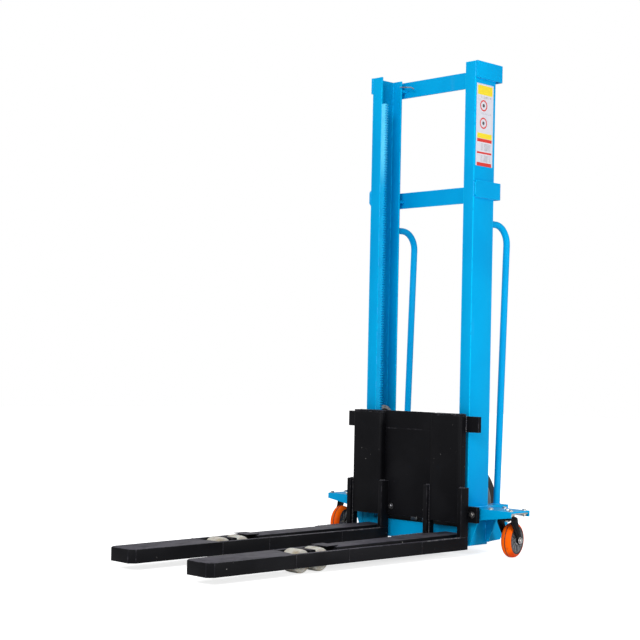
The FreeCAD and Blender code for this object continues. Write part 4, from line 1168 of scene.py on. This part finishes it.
def makeCarriageSeams():
    s = forkShape
    stout, fine = [], []
    for side, hand in (("right", 1), ("left", -1)):
        low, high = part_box(side + "_fork")
        centre = forkCentre(side)
        shankFront = high.y - 0.034
        frontY = shankFront - s["barStep"]
        rear = low.y + s["tipLength"]
        for way in (-1, 1):
            x = centre + way * (s["shankHalf"] - 0.001)
            stout.append([(x, shankFront + 0.006, s["bladeTop"] + 0.004),
                          (x, shankFront + 0.006, s["barTop"])])
            stout.append([(x, shankFront + 0.010, s["barTop"] + 0.001),
                          (centre + way * (s["shankHalf"] + s["barWidth"] - 0.003), shankFront + 0.010,
                           s["barTop"] + 0.0005)])
            mid = centre + way * (s["shankHalf"] + s["barWidth"] / 2)
            fine.append([(mid - 0.008, frontY - 0.001, s["bladeTop"]),
                         (mid + 0.008, frontY - 0.001, s["bladeTop"])])
            run = centre + way * (s["shankHalf"] + s["barWidth"] * 0.86)
            stout.append([(run, frontY - 0.004, s["bladeTop"]),
                          (run - way * 0.004, frontY - seamShape["heelRun"], s["bladeTop"])])
            outward = way * hand
            endOut = rear - outward * s["skew"]
            for y in (endOut,) + seamShape["railSeams"]:
                share = (y - endOut) / (frontY - endOut)
                half = s["tipRearHalf"] + (s["shankHalf"] + s["barWidth"] - s["tipRearHalf"]) * share
                xOut = centre + way * half
                fine.append([(xOut, y, low.z + 0.003), (xOut, y, s["bladeTop"] - 0.001)])
                fine.append([(xOut, y, s["bladeTop"]), (xOut - way * 0.016, y, s["bladeTop"])])
        barOut = centre + hand * s["shankHalf"]
        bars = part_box("crossbars")
        stout.append([(barOut, bars[0].y, high.z - 0.062), (barOut, bars[0].y, high.z - 0.010)])
        fine.append([(centre - hand * 0.0715, high.y - 0.004, 0.252),
                     (centre - hand * 0.0715, high.y - 0.004, high.z - 0.004)])
        fine.append([(centre - 0.066, high.y - 0.001, high.z), (centre + 0.066, high.y - 0.001, high.z)])
    panelLow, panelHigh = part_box("backrest")
    fine.append([(panelLow.x + 0.004, panelHigh.y - 0.001, panelHigh.z),
                 (panelHigh.x - 0.004, panelHigh.y - 0.001, panelHigh.z)])
    makeSeam("forkWelds", stout, 0.0032, 0.0058, blackWeld, "carriage", "black_paint")
    makeSeam("carriageWelds", fine, 0.0013, 0.0024, seamBlack, "carriage", "black_paint")


def makeChassisSeams():
    mastLow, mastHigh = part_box("right_upright")
    wingLow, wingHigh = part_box("right_wing")
    sideX, deck = wingLow.x, wingHigh.z
    throat = mastLow.x
    stout, fine = [], []
    for hand in (-1, 1):
        stout.append([(hand * (sideX + 0.0005), wingLow.y + 0.002, deck),
                      (hand * (sideX + 0.0005), wingHigh.y - 0.002, deck)])
        stout.append([(hand * (sideX + 0.0005), wingLow.y - 0.0002, deck - 0.046),
                      (hand * (sideX + 0.0005), wingLow.y - 0.0002, deck)])
        for nodeName in ("top_strap", "middle_strap"):
            low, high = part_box(nodeName)
            fine.append([(hand * mastHigh.x, low.y + 0.0002, low.z + 0.004),
                         (hand * mastHigh.x, low.y + 0.0002, high.z - 0.004)])
            fine.append([(hand * (mastHigh.x + 0.001), low.y + 0.008, low.z),
                         (hand * (mastHigh.x + 0.001), mastHigh.y, low.z)])
        stout.append([(hand * throat, mastHigh.y + 0.0005, 0.333),
                      (hand * throat, mastHigh.y + 0.0005, 0.388)])
        handleLow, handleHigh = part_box("right_handle")
        x = hand * (handleLow.x + handleHigh.x) / 2
        footY = mastLow.y + 0.200
        stout.append(circle((x, footY, deck + 0.0008), 0.0135, (1, 0, 0), (0, 1, 0)))
        stout.append(circle((x, mastHigh.y + 0.0008, handleHigh.z - 0.0125), 0.0135, (1, 0, 0), (0, 0, 1)))
        for y, bottom in ((wingLow.y + 0.0055, 0.040), (wingHigh.y - 0.0115, 0.046)):
            fine.append([(hand * (sideX + 0.0004), y, bottom), (hand * (sideX + 0.0004), y, deck - 0.05)])
    rackLow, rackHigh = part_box("gear_rack")
    z = rackLow.z + 0.02
    while z + seamShape["stitchLength"] < rackHigh.z:
        fine.append([(rackLow.x, rackLow.y + 0.0003, z), (rackLow.x, rackLow.y + 0.0003,
                z + seamShape["stitchLength"])])
        z += seamShape["stitchPitch"]
    makeSeam("frameWelds", stout, 0.0026, 0.0024, blueWeld, "chassis", "blue_paint")
    makeSeam("trimWelds", fine, 0.0014, 0.0017, blueWeld, "chassis", "blue_paint")


makeCarriageSeams()
makeChassisSeams()
print("bolts and weld seams made")


tieShape = {"half": 0.013, "footHalf": 0.016, "foot": 0.050, "bottom": 0.0655, "top": 0.0745, "inset": 0.0005,
            "strap": 0.005}
coverShape = {"half": 0.036, "forward": 0.022, "behind": 0.035, "gap": 0.0015, "sheet": 0.002, "bend": 0.002,
              "padHalf": 0.034, "padStart": 0.021, "padEnd": 0.034, "sink": 0.0005, "lap": 0.0018}


def makeFittings():
    tie, cover = tieShape, coverShape
    for side in ("right", "left"):  # tie bar between the two load rollers
        low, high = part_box(side + "_bogie")
        pivot = Vector(joints[side + "_bogie_tilt"]["pos_m"])
        shape = bmesh.new()
        outline = roundOff(rectangle(pivot.y - tie["half"], pivot.y + tie["half"], tie["bottom"],
                                     tie["top"]), [0.002, 0.002, 0.004, 0.004])
        addPrism(shape, outline, low.x + tie["inset"], high.x - tie["inset"], "x")
        for x0 in (low.x + tie["inset"], high.x - tie["inset"] - tie["strap"]):
            strut = [(pivot.y - tie["half"], tie["bottom"]), (pivot.y - tie["footHalf"], tie["foot"]),
                     (pivot.y + tie["footHalf"], tie["foot"]), (pivot.y + tie["half"], tie["bottom"])]
            addPrism(shape, strut, x0, x0 + tie["strap"], "x")
        piece = finishPiece(side + "RollerTie", shape, [finishes["black_paint"], edges["black_paint"]],
                            0.0008, 2, 1)
        seat(piece, side + "_bogie", "black_paint")
        shape = bmesh.new()  # grease cap over the caster's pivot
        swivel = Vector(joints[side + "_caster_swivel"]["pos_m"])
        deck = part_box("right_wing")[1].z
        addLathe(shape, [(0, 0), (0, 0.0085), (0.0022, 0.0080), (0.0032, 0.0050), (0.0034, 0)],
                 (swivel.x, swivel.y, deck), (0, 0, 1), 36)
        seat(finishPiece(side + "PivotCap", shape, [finishes["zinc"]]), "chassis", "zinc")
    shape = bmesh.new()  # cover plates reaching from the leg ends over the rear load rollers
    for side in ("right", "left"):
        low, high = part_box(side + "_rear_load_roller")
        centre = (low.x + high.x) / 2
        outline = rectangle(centre - cover["half"], centre + cover["half"], high.y - cover["forward"],
                            high.y + cover["behind"])
        addPrism(shape, roundOff(outline, [cover["bend"]] * 4), high.z + cover["gap"],
                 high.z + cover["gap"] + cover["sheet"])
        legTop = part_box(side + "_leg")[1].z
        pad = rectangle(centre - cover["padHalf"], centre + cover["padHalf"], high.y + cover["padStart"],
                        high.y + cover["padEnd"])  # joins it to the leg
        addPrism(shape, pad, legTop - cover["sink"], high.z + cover["lap"])
    seat(finishPiece("rollerCovers", shape, [forkPowder], 0.0004), "chassis", "black_paint")
    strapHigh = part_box("top_strap")[1]
    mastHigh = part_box("left_upright")[1]
    shape = bmesh.new()  # hooked pin by the left end of the top tie
    start = Vector((mastHigh.x - 0.004, mastHigh.y - 0.010, strapHigh.z - 0.024))
    bends = [Vector((0, 0, 0)), Vector((0.046, 0.012, -0.004)), Vector((0.060, 0.013, -0.012))]
    for a, b in zip(bends, bends[1:]):
        line = b - a
        addLathe(shape, [(0, 0), (0, 0.0024), (line.length, 0.0024), (line.length, 0)], start + a, line, 16)
    seat(finishPiece("hookPin", shape, [finishes["steel"]]), "chassis", "steel")


makeFittings()


studio = {"floor": tone(0.90, 0.90, 0.90), "glow": 0.80, "sky": tone(1.0, 1.0, 1.0), "skyPower": 0.46}


def makeStage():
    f = Finish("paleFloor")
    seen = f.node("ShaderNodeLightPath", output="Is Camera Ray")  # white background, softer light
    f.dress(Base_Color=f.mix(f.noise(2.0, 2) * 0.04, studio["floor"], tone(0.86, 0.86, 0.87)), Roughness=0.8,
            Emission_Color=f.mix(seen, tone(0, 0, 0), studio["floor"]),
            Emission_Strength=studio["glow"])
    shape = bmesh.new()
    addBox(shape, (-14, -14, -0.02), (14, 14, 0.0))
    floor = finishPiece("floor", shape, [f.material])
    world = bpy.data.worlds.new("studio")
    bpy.context.scene.world = world
    world.use_nodes = True
    g = Graph(world.node_tree)
    seen = g.node("ShaderNodeLightPath", output="Is Camera Ray")
    backdrop = world.node_tree.nodes["Background"]
    backdrop.inputs["Color"].default_value = studio["sky"]
    power = seen * (1 - studio["skyPower"]) + studio["skyPower"]
    world.node_tree.links.new(power.socket, backdrop.inputs["Strength"])


lamps = {
    "keyPanel": {"place": (2.1, -3.9, 2.8), "aim": (0, 0, 0.9), "size": 1.8, "power": 120},
    "sidePanel": {"place": (4.2, 0.436, 1.2), "aim": (0, 0.436, 0.95), "size": 0.5, "power": 58},
    "frontPanel": {"place": (-1.6, -4.4, 2.6), "aim": (0, -0.2, 0.8), "size": 2.8, "power": 30},
    "rearPanel": {"place": (-2.8, 3.6, 3.0), "aim": (0, 0.2, 0.9), "size": 2.6, "power": 40},
}


def makeLamps():
    for name, lamp in lamps.items():
        data = bpy.data.lights.new(name, "AREA")
        data.size, data.energy = lamp["size"], lamp["power"]
        light = newObject(name, data)
        light.location = lamp["place"]
        toward = Vector(lamp["aim"]) - Vector(lamp["place"])
        light.rotation_euler = toward.to_track_quat("-Z", "Y").to_euler()


viewpoint = {"place": (3.50826, -3.61228, 0.66569), "heading": 45.1035, "pitch": 0.8795, "roll": 1.1884,
             "lens": 79.797, "shiftX": -0.00593, "shiftY": 0.0402}


def makeCamera():
    heading, pitch, roll = (math.radians(viewpoint[key]) for key in ("heading", "pitch", "roll"))
    forward = Vector((-math.sin(heading) * math.cos(pitch), math.cos(heading) * math.cos(pitch),
                      math.sin(pitch)))
    right = Vector((math.cos(heading), math.sin(heading), 0))
    up = right.cross(forward)
    tiltedRight = right * math.cos(roll) + up * math.sin(roll)
    tiltedUp = up * math.cos(roll) - right * math.sin(roll)
    data = bpy.data.cameras.new("camera")
    data.sensor_width, data.lens = 36.0, viewpoint["lens"]
    data.shift_x, data.shift_y = viewpoint["shiftX"], viewpoint["shiftY"]
    camera = newObject("camera", data)
    camera.matrix_world = Matrix.Translation(viewpoint["place"]) @ Matrix(
        (tiltedRight, tiltedUp, -forward)).transposed().to_4x4()
    bpy.context.scene.camera = camera


makeStage()
makeLamps()
makeCamera()
bpy.context.scene.view_settings.view_transform = "Standard"
print("stage, lamps and camera set")
